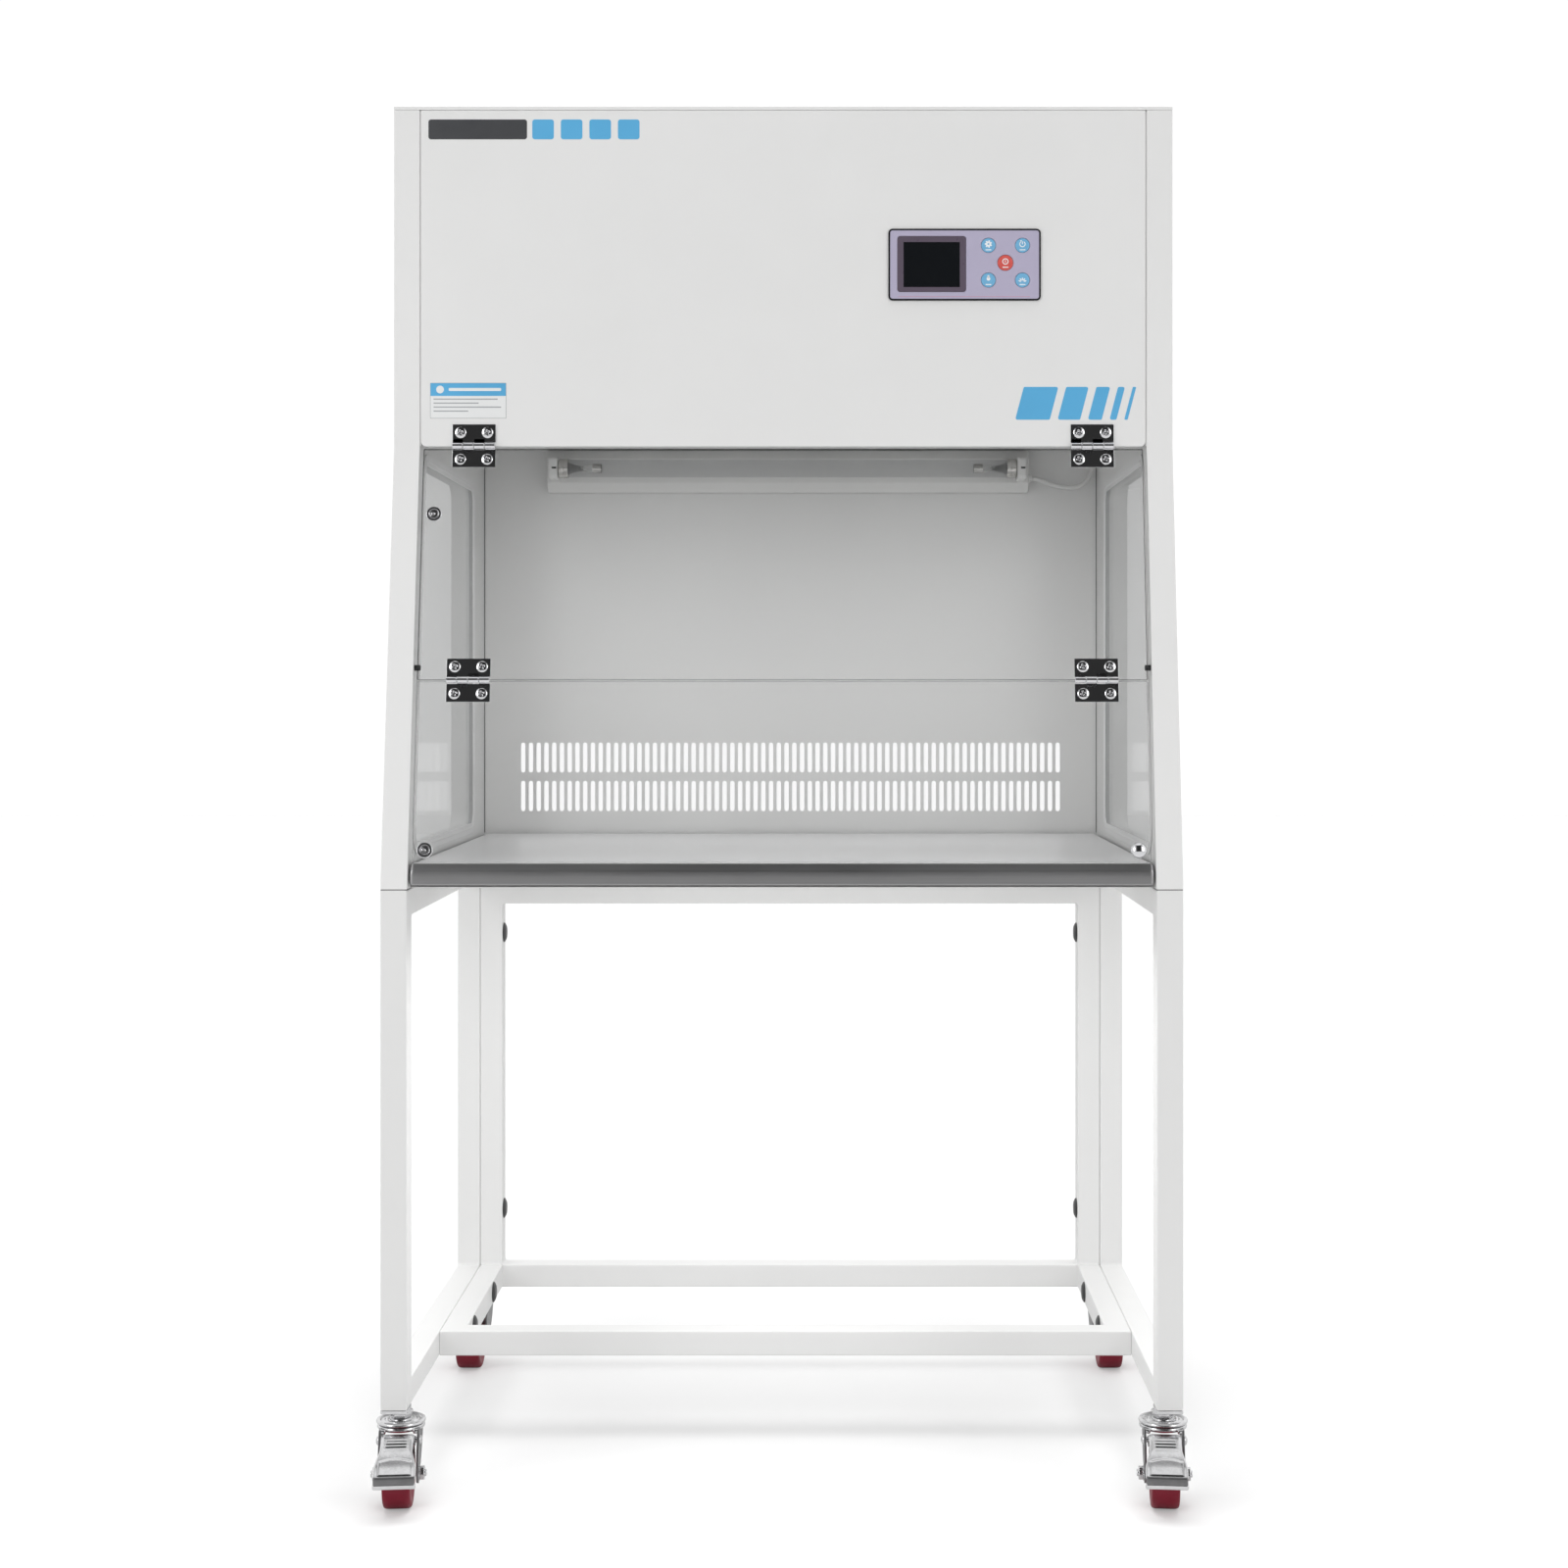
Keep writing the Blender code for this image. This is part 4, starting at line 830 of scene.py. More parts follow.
def make_rear_wall():
    """Rear sheet with two rows of round-ended slots, its fixing screws and dark strips in its back corners,
    painted shade.
    """
    half, face = INNER - GAP, BACK_INNER + BACK_PLATE
    columns, pitch = 70, 0.01063
    holes = [
        slot_outline(pitch * (k - (columns - 1) / 2), (bottom + top) / 2, 0.003, (top - bottom) / 2, 4)
        for bottom, top in ((0.7455, 0.7875), (0.7987, 0.8400))
        for k in range(columns)
    ]
    holes.append(rectangle(-0.324, 1.386, -0.276, 1.414))
    outline = rectangle(-half, STAND_TOP + GAP, half, LID_BOTTOM - GAP)
    sheet = slab(outline, "y", BACK_INNER, face, holes, edge=0.0002, steps=1)
    make("rear_wall", "bench", [(sheet, "powder_coat")], ["back_panel"])
    spots = [(x, z) for x in (-0.408, 0.408) for z in (0.705, 0.915, 1.125, 1.335, 1.560)]
    spots += [(x, z) for x in (-0.20, 0.0, 0.20) for z in (0.705, 1.560)]
    screws = [screw_head(face, 1, 0.0040, 0.0022, spot) for spot in spots]
    make("rear_wall_screws", "bench", all_of("bright_zinc", *screws))
    # dark strips along the back corners of the chamber: painted shade in those corners
    shade_strips = [
        box((sign * (INNER - 0.0011), BACK_INNER - 0.0009, 0.7165), (sign * INNER, BACK_INNER, 1.239), 0.0002)
        for _, sign in SIDES
    ]
    make("corner_shade_strips", "bench", all_of("seam_shade", *shade_strips))


def make_inlet():
    """The mains inlet in the rear sheet: flange, mouth, body, three blades and two screws."""
    x, z = -0.300, 1.400
    face = BACK_INNER + BACK_PLATE

    def around(half_width, half_height):
        return rectangle(x - half_width, z - half_height, x + half_width, z + half_height)

    mouth = rounded(around(0.0125, 0.0085), [0.001, 0.001, 0.005, 0.005], 4)
    flange = rounded(around(0.029, 0.019), 0.004, 5)
    plate = slab(flange, "y", face + GAP, DEPTH - GAP, [mouth], edge=0.0008, steps=3)
    rim = slab(rounded(inset(mouth, -0.0016), 0.0006, 2), "y", face, DEPTH, [mouth], edge=0.0004)
    body = box((x - 0.0235, 0.565, z - 0.0135), (x + 0.0235, 0.590, z + 0.0135), 0.0008, 0.002, "y")
    wall = slab(around(0.0235, 0.0135), "y", 0.589, face + 0.0006, [mouth])
    parts = all_of("black_plastic", plate, rim, body, wall)
    for dx, dz in ((-0.006, -0.003), (0.006, -0.003), (0, 0.003)):
        blade = box((x + dx - 0.001, 0.588, z + dz - 0.002), (x + dx + 0.001, 0.5985, z + dz + 0.002), 0.0004)
        parts.append((blade, "nickel"))
    for dx in (-0.024, 0.024):
        parts.append((screw_head(DEPTH - 0.0012, 1, 0.0026, 0.0011, (x + dx, z)), "bright_zinc"))
    make("mains_inlet", "bench", parts, ["power_inlet"])


def screw_head(base, direction, radius, rise, centre, turn=0.3):
    """A domed head with a cross recess, its axis along Y."""
    solid = bmesh.new()
    around, steps = 40, 13
    rings = []
    for ring in range(1, steps + 1):
        r = ring / steps
        points = []
        for k in range(around):
            a = math.tau * k / around
            x, z = r * math.cos(a - turn), r * math.sin(a - turn)
            arm = min(max(abs(x), abs(z)) / 0.50, 3.0)
            wide = min(abs(x), abs(z)) / (0.115 + 0.05 * (1 - min(arm, 1)))
            cut = clamp((1.0 - arm) * 4) * clamp((1.35 - wide) * 2.2)
            height = rise * ((1 - (0.93 * r) ** 2.4) ** 0.6 - 0.75 * cut * (1 - 0.4 * r))
            spot = Vector(centre) + radius * r * Vector((math.cos(a), math.sin(a)))
            points.append(solid.verts.new((spot.x, base + direction * height, spot.y)))
        rings.append(points)
    middle = solid.verts.new((centre[0], base + direction * rise * 0.2, centre[1]))
    skirt = [solid.verts.new((v.co.x, base - direction * 0.0004, v.co.z)) for v in rings[-1]]
    rings.append(skirt)
    for k in range(around):
        after = (k + 1) % around
        solid.faces.new((middle, rings[0][k], rings[0][after]))
        for one, two in zip(rings, rings[1:]):
            solid.faces.new((one[k], two[k], two[after], one[after]))
    solid.faces.new(skirt)
    bmesh.ops.recalc_face_normals(solid, faces=solid.faces)
    return solid


def make_lid():
    half = WIDTH / 2
    outline = rectangle(-half, COVER_FRONT, half, DEPTH)
    slots = [slot_outline(-0.165 + 0.030 * k, 0.340, 0.004, 0.090, 6) for k in range(12)]
    plate = slab(outline, "z", HEIGHT - SHEET, HEIGHT, slots, edge=0.0005, steps=2)
    rim = slab(outline, "z", LID_BOTTOM, HEIGHT - SHEET / 2, [inset(outline, SHEET)], edge=0.0004)
    make("lid", "bench", [(plate, "powder_coat"), (rim, "powder_coat")], ["top_panel"])


def make_cover():
    """The front cover, its face bent back into flanges all round."""
    half, top = 0.4185, LID_BOTTOM - GAP
    outline = rounded(rectangle(-half, COVER_BOTTOM, half, top), [0.006, 0.006, 0.001, 0.001], 5)
    cutout = rectangle(0.1255, 1.3645, 0.2935, 1.4395)
    face = slab(outline, "y", COVER_FRONT, COVER_FRONT + SHEET, [cutout], edge=0.0006, steps=3)
    inner = inset(outline, SHEET)
    flange = slab(outline, "y", COVER_FRONT + 0.0006, COVER_FRONT + 0.018, [inner], edge=0.0003)
    parts = [(face, "powder_coat"), (flange, "powder_coat")]
    for _, sign in SIDES:
        near = (sign * (half + 0.0002), COVER_FRONT + 0.0016, COVER_BOTTOM + 0.001)
        strip = box(near, (sign * (INNER - 0.0002), COVER_FRONT + 0.012, top), 0.0003)
        parts.append((strip, "powder_coat"))
    make("hood_cover", "bench", parts, ["front_cover"])


def printed(outline, material, rise=0.00012, sunk=0.0001):
    return (slab(outline, "y", COVER_FRONT - rise, COVER_FRONT + sunk, edge=0.00005, steps=1), material)


def bar(left, bottom, right, top, material, corner=0.0, rise=0.00012):
    outline = rectangle(left, bottom, right, top)
    return printed(rounded(outline, corner, 4) if corner else outline, material, rise)


def make_graphics():
    """Plain printed shapes and a blank label."""
    low, high = 1.5470, 1.5700
    parts = [bar(-0.4100, low, -0.2960, high, "grey_print", 0.003)]
    for k in range(4):
        parts.append(bar(-0.2900 + 0.0330 * k, low, -0.2650 + 0.0330 * k, high, "blue_print", 0.003))
    make("upper_graphic", "bench", parts)
    parts, left = [], 0.2680
    low, high, slant = 1.2230, 1.2610, 0.010
    for width in (0.040, 0.026, 0.016, 0.008, 0.004):
        right = left + width
        slanted = vectors((left, low), (right, low), (right + slant, high), (left + slant, high))
        parts.append(printed(rounded(slanted, min(0.002, width / 4), 3), "blue_print"))
        left += width + 0.009
    make("lower_graphic", "bench", parts)
    left, bottom, right, top = -0.4080, 1.2245, -0.3200, 1.2657
    rim = 0.0005
    parts = [
        bar(left, bottom, right, top, "pale_print", 0.0010, 0.00010),
        bar(left + rim, bottom + rim, right - rim, top - rim, "label", 0.0008, 0.00018),
        bar(left + rim, top - 0.0152, right - rim, top - rim, "blue_print", 0.0, 0.00024),
        bar(left + 0.0215, top - 0.0095, right - 0.0060, top - 0.0060, "label", 0.0010, 0.00030),
        printed(circle((left + 0.0115, top - 0.0078), 0.0045, 24), "label", 0.0003, 0.0),
    ]
    for k, length in enumerate((0.074, 0.052, 0.078, 0.040)):
        z = top - 0.0196 - 0.0046 * k
        parts.append(bar(left + 0.004, z, left + 0.004 + length, z + 0.0014, "pale_print", 0.0, 0.00024))
    make("blank_label", "bench", parts)


def worktop_section():
    """The outer and inner lines of the sheet, seen from the side: back edge, top, hemmed nose."""
    front, hem, foot, under = 0.0042, 0.691, STAND_TOP + SHEET + 2 * GAP, WORKTOP_TOP - SHEET
    outer = vectors((0.590, foot), (0.590, WORKTOP_TOP - 0.002))
    outer += vectors(*((y, WORKTOP_TOP) for y in (0.588, 0.300, 0.030)))
    outer += arc((front + 0.0053, WORKTOP_TOP - 0.0009), 0.0009, 90, 150, 4)
    outer += vectors((front + 0.0008, 0.7080), (front + 0.0001, 0.7060), (front, 0.7000), (front, 0.6940))
    outer += arc((front + 0.0016, hem + 0.0016), 0.0016, 170, 290, 6)
    outer += vectors((0.0170, hem + 0.0002))
    inner = vectors(
        (0.0170, hem + SHEET), (front + 0.0040, hem + SHEET + 0.0012), (front + 0.0013, 0.7000),
        (front + 0.0014, 0.7060), (front + 0.0020, 0.7080), (front + 0.0056, under - 0.0004),
        (0.030, under), (0.588, under), (0.590 - SHEET, foot),
    )
    return outer, inner


def make_worktop():
    """Bottom pan and a stainless worktop whose front edge is bent down into a hemmed nose."""
    half, floor = INNER - GAP, STAND_TOP + GAP
    pan = box((-half, 0.022, floor), (half, BACK_INNER - GAP, floor + SHEET), 0.0003)
    make("pan", "bench", [(pan, "powder_coat")], ["base_pan"])
    end, edge_radius = 0.4175, 0.004
    angles = [math.pi / 2 * k / 6 for k in range(7)]
    stations = [(end - edge_radius * (1 - math.sin(a)), edge_radius * (1 - math.cos(a))) for a in angles]
    places = [(-x, drop) for x, drop in reversed(stations)] + stations
    outer, inner = worktop_section()
    section = outer + inner
    solid = bmesh.new()
    rings = []
    for x, drop in places:
        limit = WORKTOP_TOP - drop
        ring = []
        for index, p in enumerate(section):
            z = min(p.y, limit if index < len(outer) else limit - SHEET)
            y = p.x + 0.35 * drop if p.x < 0.012 else p.x
            ring.append(solid.verts.new((x, y, z)))
        rings.append(ring)
    for one, two in zip(rings, rings[1:]):
        for k in range(len(section)):
            after = (k + 1) % len(section)
            solid.faces.new((one[k], one[after], two[after], two[k]))
    solid.faces.new(rings[0])
    solid.faces.new(rings[-1])
    bmesh.ops.recalc_face_normals(solid, faces=solid.faces)
    # top faces take the lighter copy of the steel and the rest the darker copy: painted light on the top,
    # painted shade on the front
    for face in solid.faces:
        face.material_index = 0 if face.normal.z > 0.9 and face.calc_center_median().z > 0.71 else 1
    make("steel_worktop", "bench", [(solid, "stainless_lit_top", "stainless")], ["worktop"])


def make_diffuser():
    half, front, back = INNER - 0.0015, 0.102, BACK_INNER - GAP
    holes = []
    for i in range(8):
        for j in range(5):
            x, y = -0.350 + 0.100 * i, 0.170 + 0.090 * j
            holes.append(rounded(rectangle(x - 0.030, y - 0.004, x + 0.030, y + 0.004), 0.0039, 5))
    outline = rectangle(-half, front, half, back)
    plate = slab(outline, "z", CEILING, CEILING + SHEET, holes, edge=0.0002, steps=1)
    make("ceiling_plate", "bench", [(plate, "powder_coat")], ["diffuser_plate"])


# Controls


def make_controls():
    """The plate with its printed line, the display and five round keys."""
    back = COVER_FRONT - GAP
    outline = rounded(rectangle(0.1215, 1.3605, 0.2975, 1.4435), 0.005, 8)
    screen = rectangle(0.132, 1.3705, 0.211, 1.4347)
    left, right, low, high = 0.2370, 0.2763, 1.3841, 1.4242
    centres = {
        "fan_button": (left, high), "timer_button": (right, high), "power_button": (0.2566, 1.4041),
        "light_button": (left, low), "sterilise_button": (right, low),
    }
    holes = [rounded(inset(screen, -GAP), 0.0035, 6)]
    holes += [circle(spot, KEY_RADII.get(name, SMALL_KEY) + GAP, 40) for name, spot in centres.items()]
    rim = slab(outline, "y", PANEL_FRONT - 0.0003, back, [inset(outline, 0.0021)], edge=0.0005, steps=3)
    plate = slab(inset(outline, 0.0018), "y", PANEL_FRONT, back, holes, edge=0.0001, steps=1)
    strip = rectangle(0.1330, 1.3648, 0.2850, 1.3654)
    line = slab(strip, "y", PANEL_FRONT - 0.00008, PANEL_FRONT + 0.0003, edge=0.00002, steps=1)
    parts = [(rim, "panel_rim"), (plate, "overlay"), (line, "pink_print")]
    make("control_plate", "bench", parts, ["control_panel"])
    inner = rectangle(0.1390, 1.3760, 0.2040, 1.4280)
    bezel = slab(
        rounded(screen, 0.0033, 6), "y", PANEL_FRONT - 0.0003, PANEL_FRONT + 0.0105, [inner],
        edge=0.0004, steps=3,
    )
    glass = slab(inset(inner, -0.0003), "y", PANEL_FRONT + 0.0001, PANEL_FRONT + 0.0090, edge=0.0001)
    make("display", "bench", [(bezel, "bezel"), (glass, "screen")], ["display_screen"])
    for name, centre in centres.items():
        make_key(name, centre)


def make_key(name, centre):
    colour = "red" if name == "power_button" else "blue"
    face, r = PANEL_FRONT - 0.0004, KEY_RADII.get(name, SMALL_KEY)
    dome = [
        (0, face), (r - 0.0040, face + 0.00003), (r - 0.0010, face + 0.00018), (r - 0.0002, face + 0.0006),
        (r, face + 0.0025), (0, face + 0.0025),
    ]
    parts = [(lathe(dome, "y", centre), colour)] + all_of("white_print", *icon_shapes(name, *centre, face))
    make(name.replace("_button", "_key"), f"{name}_body", parts, [name])


def icon_shapes(name, x, z, face):
    """Raised white pictograms: a fan, a clock, a power mark, a lamp and a row of rays."""

    def flat(outline, holes=()):
        return slab(outline, "y", face - 0.00010, face + 0.00025, holes, edge=0.00004, steps=1)

    def turned(outline, angle, centre):
        c, s, (left, low) = math.cos(angle), math.sin(angle), centre
        return flat(vectors(*((left + p.x * c - p.y * s, low + p.x * s + p.y * c) for p in outline)))

    shapes = [flat(rounded(rectangle(x - 0.0034, z - 0.0058, x + 0.0034, z - 0.0047), 0.0004, 3))]
    up = (x, z + 0.0014)
    if name == "fan_button":
        blade = vectors(
            (0.0004, 0.0006), (0.0016, 0.0018), (0.0018, 0.0038), (0.0004, 0.0044), (-0.0007, 0.0026)
        )
        shapes += [turned(blade, math.tau * k / 7, up) for k in range(7)]
    elif name == "timer_button":
        shapes.append(flat(arc(up, 0.0036, 120, 420, 24) + arc(up, 0.0026, 420, 120, 24)))
        shapes.append(turned(rectangle(-0.0004, -0.0003, 0.0006, 0.0030), 0, up))
        shapes.append(flat(rectangle(x - 0.0026, z + 0.0046, x - 0.0006, z + 0.0056)))
    elif name == "power_button":
        shapes.append(flat(circle(up, 0.0036, 28), [circle(up, 0.0026, 28)]))
        shapes.append(flat(rounded(rectangle(x - 0.00045, z + 0.0004, x + 0.00045, z + 0.0030), 0.0002, 2)))
    elif name == "light_button":
        shapes += [flat(circle(up, 0.0022, 24)), flat(circle((x, z + 0.0040), 0.0014, 20))]
    else:
        ray = vectors(
            (0.0000, 0.0012), (0.0008, 0.0028), (0.0005, 0.0048), (-0.0005, 0.0048), (-0.0008, 0.0028)
        )
        shapes += [turned(ray, math.radians(angle), (x, z - 0.0022)) for angle in (-72, -36, 0, 36, 72)]
    return shapes


# Lamp


def make_batten():
    """The lamp's back box with a holder for each end of the tube."""
    height, wall, slope = LAMP_CENTRE[1], BACK_INNER - GAP, BATTEN_FRONT + 0.010
    low, high = BATTEN_Z
    section = rounded(
        vectors((wall, low), (wall, high), (slope, high), (BATTEN_FRONT, high - 0.012),
                (BATTEN_FRONT, low + 0.012), (slope, low)),
        0.002, 3,
    )
    spine = slab(section, "x", LAMP_X - BATTEN_HALF, LAMP_X + BATTEN_HALF, edge=0.0015, steps=3)
    parts = [(spine, "white_plastic")]
    holder = rectangle(0.5265, height - 0.0148, BATTEN_FRONT + 0.006, height + 0.0148)
    holder = rounded(holder, [0.006, 0.001, 0.001, 0.006], 6)
    for _, sign in SIDES:
        start, end = sorted(LAMP_X + sign * (LAMP_HALF + reach) for reach in (GAP, 0.012))
        parts.append((slab(holder, "x", start, end, edge=0.0010, steps=3), "white_plastic"))
        # a black strip on each holder's front where its slot is: painted shade in the slot
        slot_shade = box((start + 0.0045, 0.5258, height - 0.0012), (end - 0.0012, 0.530, height + 0.0012), 0.0003)
        parts.append((slot_shade, "black_plastic"))
    make("batten", "bench", parts, ["lamp_batten"])


def make_lamp():
    """The clear tube and, at each end, its cap, glass stem, lead wires, coil and shield."""
    depth, height = LAMP_CENTRE
    half, place = LAMP_HALF, BENCH @ Matrix.Translation((LAMP_X, 0, 0))
    end = half - 0.010
    tube = lathe([(0, -end), (LAMP_RADIUS, -end), (LAMP_RADIUS, end), (0, end)], "x", LAMP_CENTRE)
    make("lamp_glass_tube", "bench", [(tube, "quartz")], ["lamp_tube"], place)
    cap = softened(
        [(0, half), (0.0118, half), (0.0130, half - 0.0015), (0.0130, half - 0.0055), (0.0126, half - 0.0060),
         (0.0126, half - 0.0075), (0.0130, half - 0.0080), (0.0130, half - 0.0130), (0.0121, half - 0.0135),
         (0, half - 0.0135)],
        0.0004,
    )
    stem = softened(
        [(0, half - 0.013), (0.0085, half - 0.013), (0.0050, half - 0.022), (0.0030, half - 0.034),
         (0, half - 0.034)],
        0.001,
    )
    shield = [(0.0062, half - 0.046), (0.0062, half - 0.058), (0.0058, half - 0.058), (0.0058, half - 0.046)]
    coil_radius, coil_length, turns, points_in_coil = 0.0012, 0.0091, 9, 60
    parts = []
    for _, sign in SIDES:
        parts.append((lathe(mirrored(cap, sign), "x", LAMP_CENTRE), "nickel"))
        parts.append((lathe(mirrored(stem, sign), "x", LAMP_CENTRE, 32), "quartz"))
        for offset in (-0.0035, 0.0035):
            lead = spline(
                [(sign * (half - inside), depth, height + offset * apart)
                 for inside, apart in ((0.030, 0.4), (0.040, 1), (0.052, 1.3))],
                0.003,
            )
            parts.append((wire(lead, 0.00045, 8), "nickel"))
        coil = []
        for t in (k / points_in_coil for k in range(points_in_coil + 1)):
            a = math.tau * turns * t
            across, out = sign * (half - 0.052) + coil_radius * math.cos(a), depth + coil_radius * math.sin(a)
            coil.append((across, out, height + coil_length * (t - 0.5)))
        parts.append((wire(coil, 0.0003, 6, (0.2, 1, 0.3)), "nickel"))
        parts.append((lathe(mirrored(shield, sign), "x", LAMP_CENTRE, 32), "nickel"))
    make("lamp_ends", "bench", parts, place=place)


def make_lamp_cable():
    """The lamp's lead: out of the batten, a shallow sag, then up into the ceiling plate."""
    route = [
        (LAMP_X + BATTEN_HALF + GAP, CABLE_START_Z), (0.338, 1.1995), (0.360, 1.1915), (0.385, 1.1885),
        (0.403, 1.1960), (0.4115, 1.2120), (CABLE_END_X, 1.2260), (CABLE_END_X, CEILING - GAP),
    ]
    points = spline([(x, CABLE_DEPTH + SHIFT, z) for x, z in route], 0.0045)
    curve = bpy.data.curves.new("lamp_lead", "CURVE")
    curve.dimensions = "3D"
    curve.bevel_depth = CABLE_RADIUS
    curve.bevel_resolution = 6
    curve.use_fill_caps = True
    line = curve.splines.new("POLY")
    line.points.add(len(points) - 1)
    for target, point in zip(line.points, points):
        target.co = (*point, 1)
    curve.materials.append(M["cable"])
    lead = linked("lamp_lead", curve)
    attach(lead, "bench")
    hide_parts("lamp_cable")


def make_glands():
    """The grommets at the cable's two ends."""
    bore = CABLE_RADIUS
    gland = softened([(bore, 0.0), (0.0062, 0.0), (0.0060, 0.0022), (0.0046, 0.0060), (bore, 0.0066)], 0.0006)
    solids = (
        lathe(mirrored(gland, 1, LAMP_X + BATTEN_HALF), "x", (CABLE_DEPTH, CABLE_START_Z), 32),
        lathe(mirrored(gland, -1, CEILING), "z", (CABLE_END_X, CABLE_DEPTH), 32),
    )
    make("lead_glands", "bench", all_of("white_plastic", *solids))


# Sash, in the frame of a hinge axis: z runs up along the sash and y points behind it


def make_leaf(name, body, stands_for, place, x, direction):
    """A leaf with its barrels and two domed screws; the leaf that goes up from the pin also holds the pin."""
    pinned = direction > 0
    offset, free = KNUCKLE - LEAF, KNUCKLE + 2 * GAP
    low, high = sorted((direction * free, direction * 0.025))
    outline = rounded(rectangle(x - HINGE_HALF, low, x + HINGE_HALF, high), 0.0008, 3)
    solids = [slab(outline, "y", offset, KNUCKLE, edge=0.0003, steps=2)]
    pitch = 2 * HINGE_HALF / 4
    for index in range(0 if pinned else 1, 4, 2):
        start = x - HINGE_HALF + pitch * index + 0.0004
        end = start + pitch - 0.0008
        body_profile = [(0.0031, start), (KNUCKLE, start + 0.0004), (KNUCKLE, end - 0.0004), (0.0031, end)]
        if pinned:
            barrel = [(0, start), *body_profile, (0, end)]
        else:
            barrel = [(0.0016, start), *body_profile, (0.0016, end)]
        solids.append(lathe(barrel, "x", steps=32))
        solids.append(box((start, offset, 0), (end, KNUCKLE, direction * 2 * free), 0.0002))
    parts = all_of("chrome", *solids)
    if pinned:
        half, chamfer = HINGE_HALF, HINGE_HALF - 0.0004
        pin = [(0, -half), (0.0012, -half), (0.0015, -chamfer), (0.0015, chamfer), (0.0012, half), (0, half)]
        parts.append((lathe(mirrored(pin, 1, x), "x", steps=20), "bright_zinc"))
    for side in (-1, 1):
        spot = (x + side * 0.0155, direction * 0.0155)
        parts.append((screw_head(offset, -1, 0.0064, 0.00165, spot), "chrome"))
    make(name, body, parts, [stands_for], place)


def make_sash():
    """The two clear panels and the four hinges between them and the cover."""
    wide, lowest = 0.4155, MIDDLE_HINGE - SASH_LENGTH
    upper = rounded(rectangle(-wide, PANEL_CLEARANCE - MIDDLE_HINGE, wide, -0.0025), 0.0015, 3)
    lower = rounded(rectangle(-wide, lowest, wide, -PANEL_CLEARANCE), [0.004, 0.004, 0.0015, 0.0015], 4)
    # the upper panel's edges take the near-black copy of the edge material: painted shade
    for level, outline, place, edge in (
        ("upper", upper, TOP_AXIS, "painted_shade_edge"), ("lower", lower, MIDDLE_AXIS, "acrylic_edge"),
    ):
        panel = slab(outline, "y", PANEL_FACE, PANEL_FACE + PANEL_THICKNESS, edge=0.0004, steps=2, rim_slot=1)
        parts = [(panel, "acrylic", edge)]
        make(f"{level}_clear_panel", f"{level}_sash_body", parts, [f"{level}_sash"], place)
    for side, sign in SIDES:
        for name, body, node, place, direction in (
            ("top_hinge_plate", "bench", "upper_hinge_fixed_leaf", TOP_SEAT, 1),
            ("top_hinge_flap", "upper_sash_body", "upper_hinge_moving_leaf", TOP_AXIS, -1),
            ("mid_hinge_plate", "upper_sash_body", "middle_hinge_fixed_leaf", MIDDLE_AXIS, 1),
            ("mid_hinge_flap", "lower_sash_body", "middle_hinge_moving_leaf", MIDDLE_AXIS, -1),
        ):
            make_leaf(f"{name}_{side}", body, f"{node}_{side}", place, sign * HINGE_X, direction)


def make_catches():
    """Two round magnets that meet when the sash is folded, and a domed bumper on the other side."""
    back, front = PANEL_FACE - GAP, GAP
    across, along = 0.401, 0.1936
    for level, direction in (("upper", 1), ("lower", -1)):
        centre = (-across, direction * along)
        disc = softened(
            [(0, back), (0.0088, back), (0.0090, back - 0.0004), (0.0090, front + 0.0007), (0.0084, front),
             (0.0058, front), (0.0052, front + 0.0010), (0.0044, front + 0.0009), (0.0040, front + 0.0002),
             (0.0026, front - 0.0002), (0.0014, front - 0.0002), (0.0010, front + 0.0006),
             (0, front + 0.0007)],
            0.0003,
        )
        parts = [(lathe(disc, "y", centre), "chrome")]
        for inner, outer in ((0.0060, 0.0082), (0.0030, 0.0042)):  # black rings on the chrome face: the outer one a painted dark reflection of the flat face, the inner one painted shade in the groove
            ring = [(inner, front - 0.0001), (outer, front - 0.0001), (outer, back), (inner, back)]
            parts.append((lathe(ring, "y", centre), "black_plastic"))
        make(f"catch_{level}", f"{level}_sash_body", parts, [f"catch_magnet_{level}"], MIDDLE_AXIS)
    radius, rise, base, steps = 0.009, 0.0065, 0.0008, 14
    dome = [(0, back), (radius, back), (radius, back - base)]
    for a in (math.pi / 2 * k / steps for k in range(1, steps)):
        dome.append((radius * math.cos(a), back - base - (rise - base) * math.sin(a)))
    dome.append((0, back - rise))
    bumper = [(lathe(dome, "y", (across, -along)), "chrome")]
    make("domed_bumper", "lower_sash_body", bumper, ["sash_bumper"], MIDDLE_AXIS)


# CAD pieces whose own shape is right


def finish_kept_nodes():
    kept = {"filter_frame": "filter_board", "filter_medium": "filter_paper", "pre_filter": "foam"}
    kept.update(dict.fromkeys(("blower_deck", "blower_housing", "blower_motor", "impeller"), "galvanised"))
    for node, material in kept.items():
        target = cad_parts[node]
        target.data.materials.clear()
        target.data.materials.append(M[material])


# Studio


def make_camera():
    data = bpy.data.cameras.new("camera")
    data.lens, data.sensor_width = 54.3, 36
    data.shift_x, data.shift_y = -0.02875, -0.05625
    camera = linked("camera", data, (0.053, SHIFT - 2.650, 0.904))
    camera.rotation_euler = (math.pi / 2, 0, 0)
    bpy.context.scene.camera = camera


def area_light(name, location, target, size, power, glossy=True):
    data = bpy.data.lights.new(name, "AREA")
    data.shape = "RECTANGLE"
    data.size, data.size_y = size
    data.energy = power
    light = linked(name, data, location)
    light.rotation_euler = (Vector(target) - Vector(location)).to_track_quat("-Z", "Y").to_euler()
    light.visible_glossy = glossy
    light.visible_camera = False
    return data


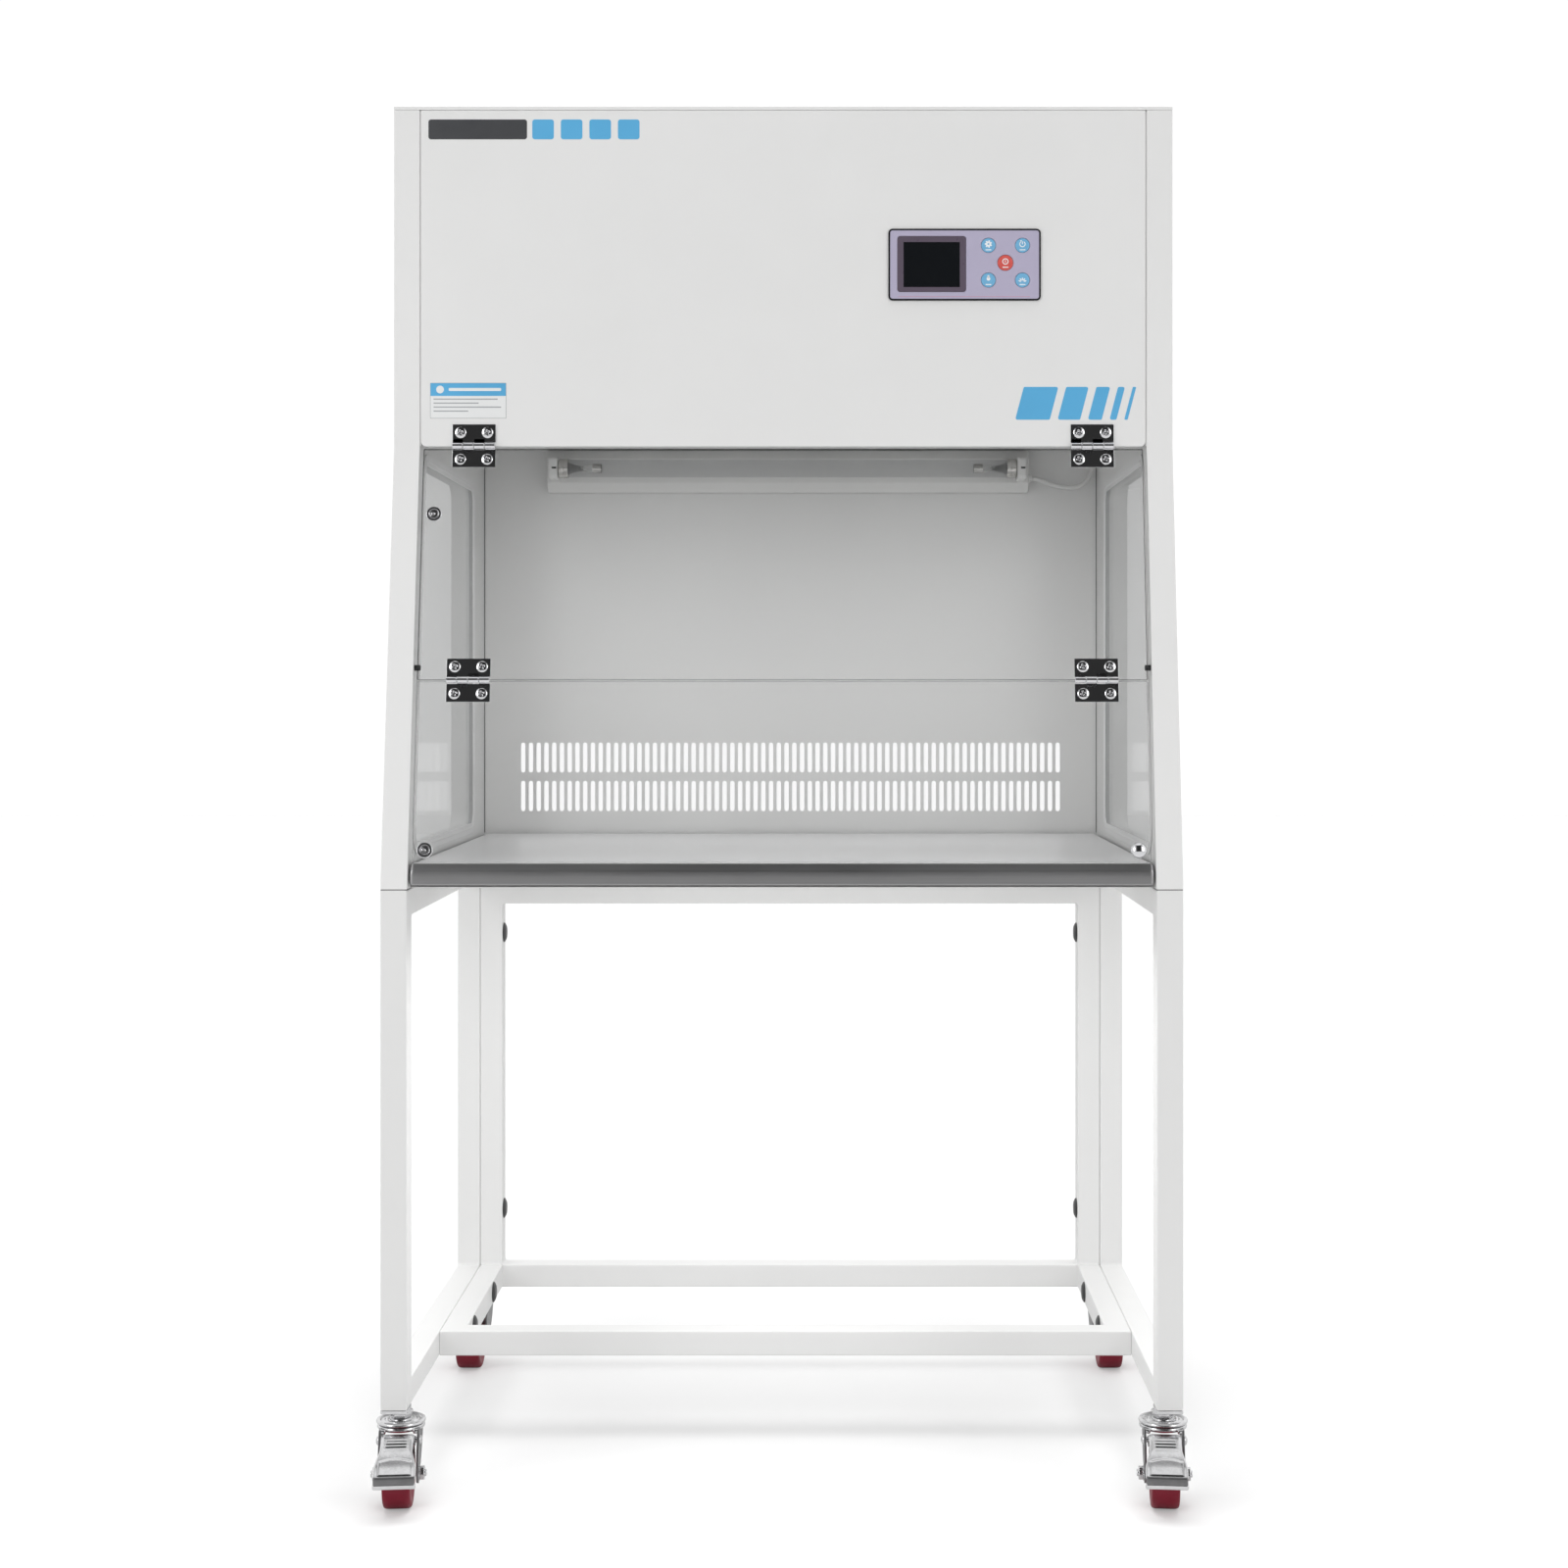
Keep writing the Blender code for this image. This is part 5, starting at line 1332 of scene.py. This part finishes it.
def make_floor():
    """A pale floor, a little brighter to the camera than the light it gives back."""
    bpy.ops.mesh.primitive_plane_add(size=30, location=(0, 0, 0))
    floor = bpy.context.object
    floor.name = "studio_floor"
    pale, tree, shader = new_material("studio_floor")
    seen = tree.nodes.new("ShaderNodeLightPath").outputs["Is Camera Ray"]
    fill(tree, shader, {
        "Base Color": (0.62, 0.62, 0.62, 1),
        "Roughness": 0.9,
        "Specular IOR Level": 0.1,
        "Emission Color": (1, 1, 1, 1),
        "Emission Strength": spread(tree, seen, 0.0, 0.30, 0, 1),
    })
    floor.data.materials.append(pale)


def make_surround():
    """A white room; polished metal mirrors a darker one, brightest overhead and grey at the sides."""
    world = bpy.data.worlds.new("studio")
    bpy.context.scene.world = world
    world.use_nodes = True
    tree = world.node_tree
    tree.nodes.clear()
    path = tree.nodes.new("ShaderNodeLightPath").outputs
    coords = tree.nodes.new("ShaderNodeTexCoord")
    towards = add_node(tree, "ShaderNodeSeparateXYZ", Vector=coords.outputs["Generated"]).outputs
    walls = spread(tree, calculated(tree, "ABSOLUTE", towards["X"]), 0.03, 0.95, 0.30, 0.62)
    behind = spread(tree, towards["Y"], 0, 1, -0.05, 0.35)
    above = spread(tree, towards["Z"], 0, 0.95, 0.84, 0.93)
    room = calculated(tree, "MAXIMUM", calculated(tree, "MAXIMUM", walls, behind), above)
    white = (1, 1, 1, 1)
    shades = [
        add_node(tree, "ShaderNodeBackground", Color=colour, Strength=strength).outputs[0]
        for colour, strength in ((room, 1.0), (white, 0.58), (white, 1.05))
    ]
    gloss, soft, backdrop = shades
    lit = mix_shaders(tree, path["Is Glossy Ray"], soft, gloss)
    add_node(tree, "ShaderNodeOutputWorld", Surface=mix_shaders(tree, path["Is Camera Ray"], lit, backdrop))


def make_lights():
    """A soft box on each side, a wide sun overhead, and weak fills in the chamber and under the cabinet."""
    chamber = area_light(
        "chamber_fill", (0, SHIFT + 0.11, 1.165), (0, SHIFT + 0.60, 0.84), (0.78, 0.10), 0.32, glossy=False
    )
    chamber.spread = math.radians(84)
    area_light("under_fill", (0, SHIFT + 0.09, 0.66), (0, SHIFT + 0.20, 0), (0.56, 0.26), 2.1, glossy=False)
    for name, x, power in (("left_box", -2.6, 25), ("right_box", 2.6, 18.5)):
        area_light(name, (x, -2.4, 1.9), (0, 0, 1.0), (1.2, 2.0), power)
    sun = bpy.data.lights.new("ceiling", "SUN")
    sun.angle, sun.energy = math.radians(40), 1.73
    linked("ceiling", sun).visible_glossy = False
    bpy.context.scene.view_settings.view_transform = "Standard"


make_camera()
M = make_materials()
make_lamp_cable()
make_glands()
make_floor()
make_surround()
make_lights()
make_stand()
for row_name in ("front", "rear"):
    for side_name, side_sign in SIDES:
        make_caster(row_name, side_name, side_sign)
for side_name, side_sign in SIDES:
    make_side_wall(side_name, side_sign)
    make_sash_stop(side_name, side_sign)
make_rear_wall()
make_inlet()
make_lid()
make_cover()
make_graphics()
make_worktop()
make_diffuser()
make_controls()
make_batten()
make_lamp()
make_sash()
make_catches()
finish_kept_nodes()
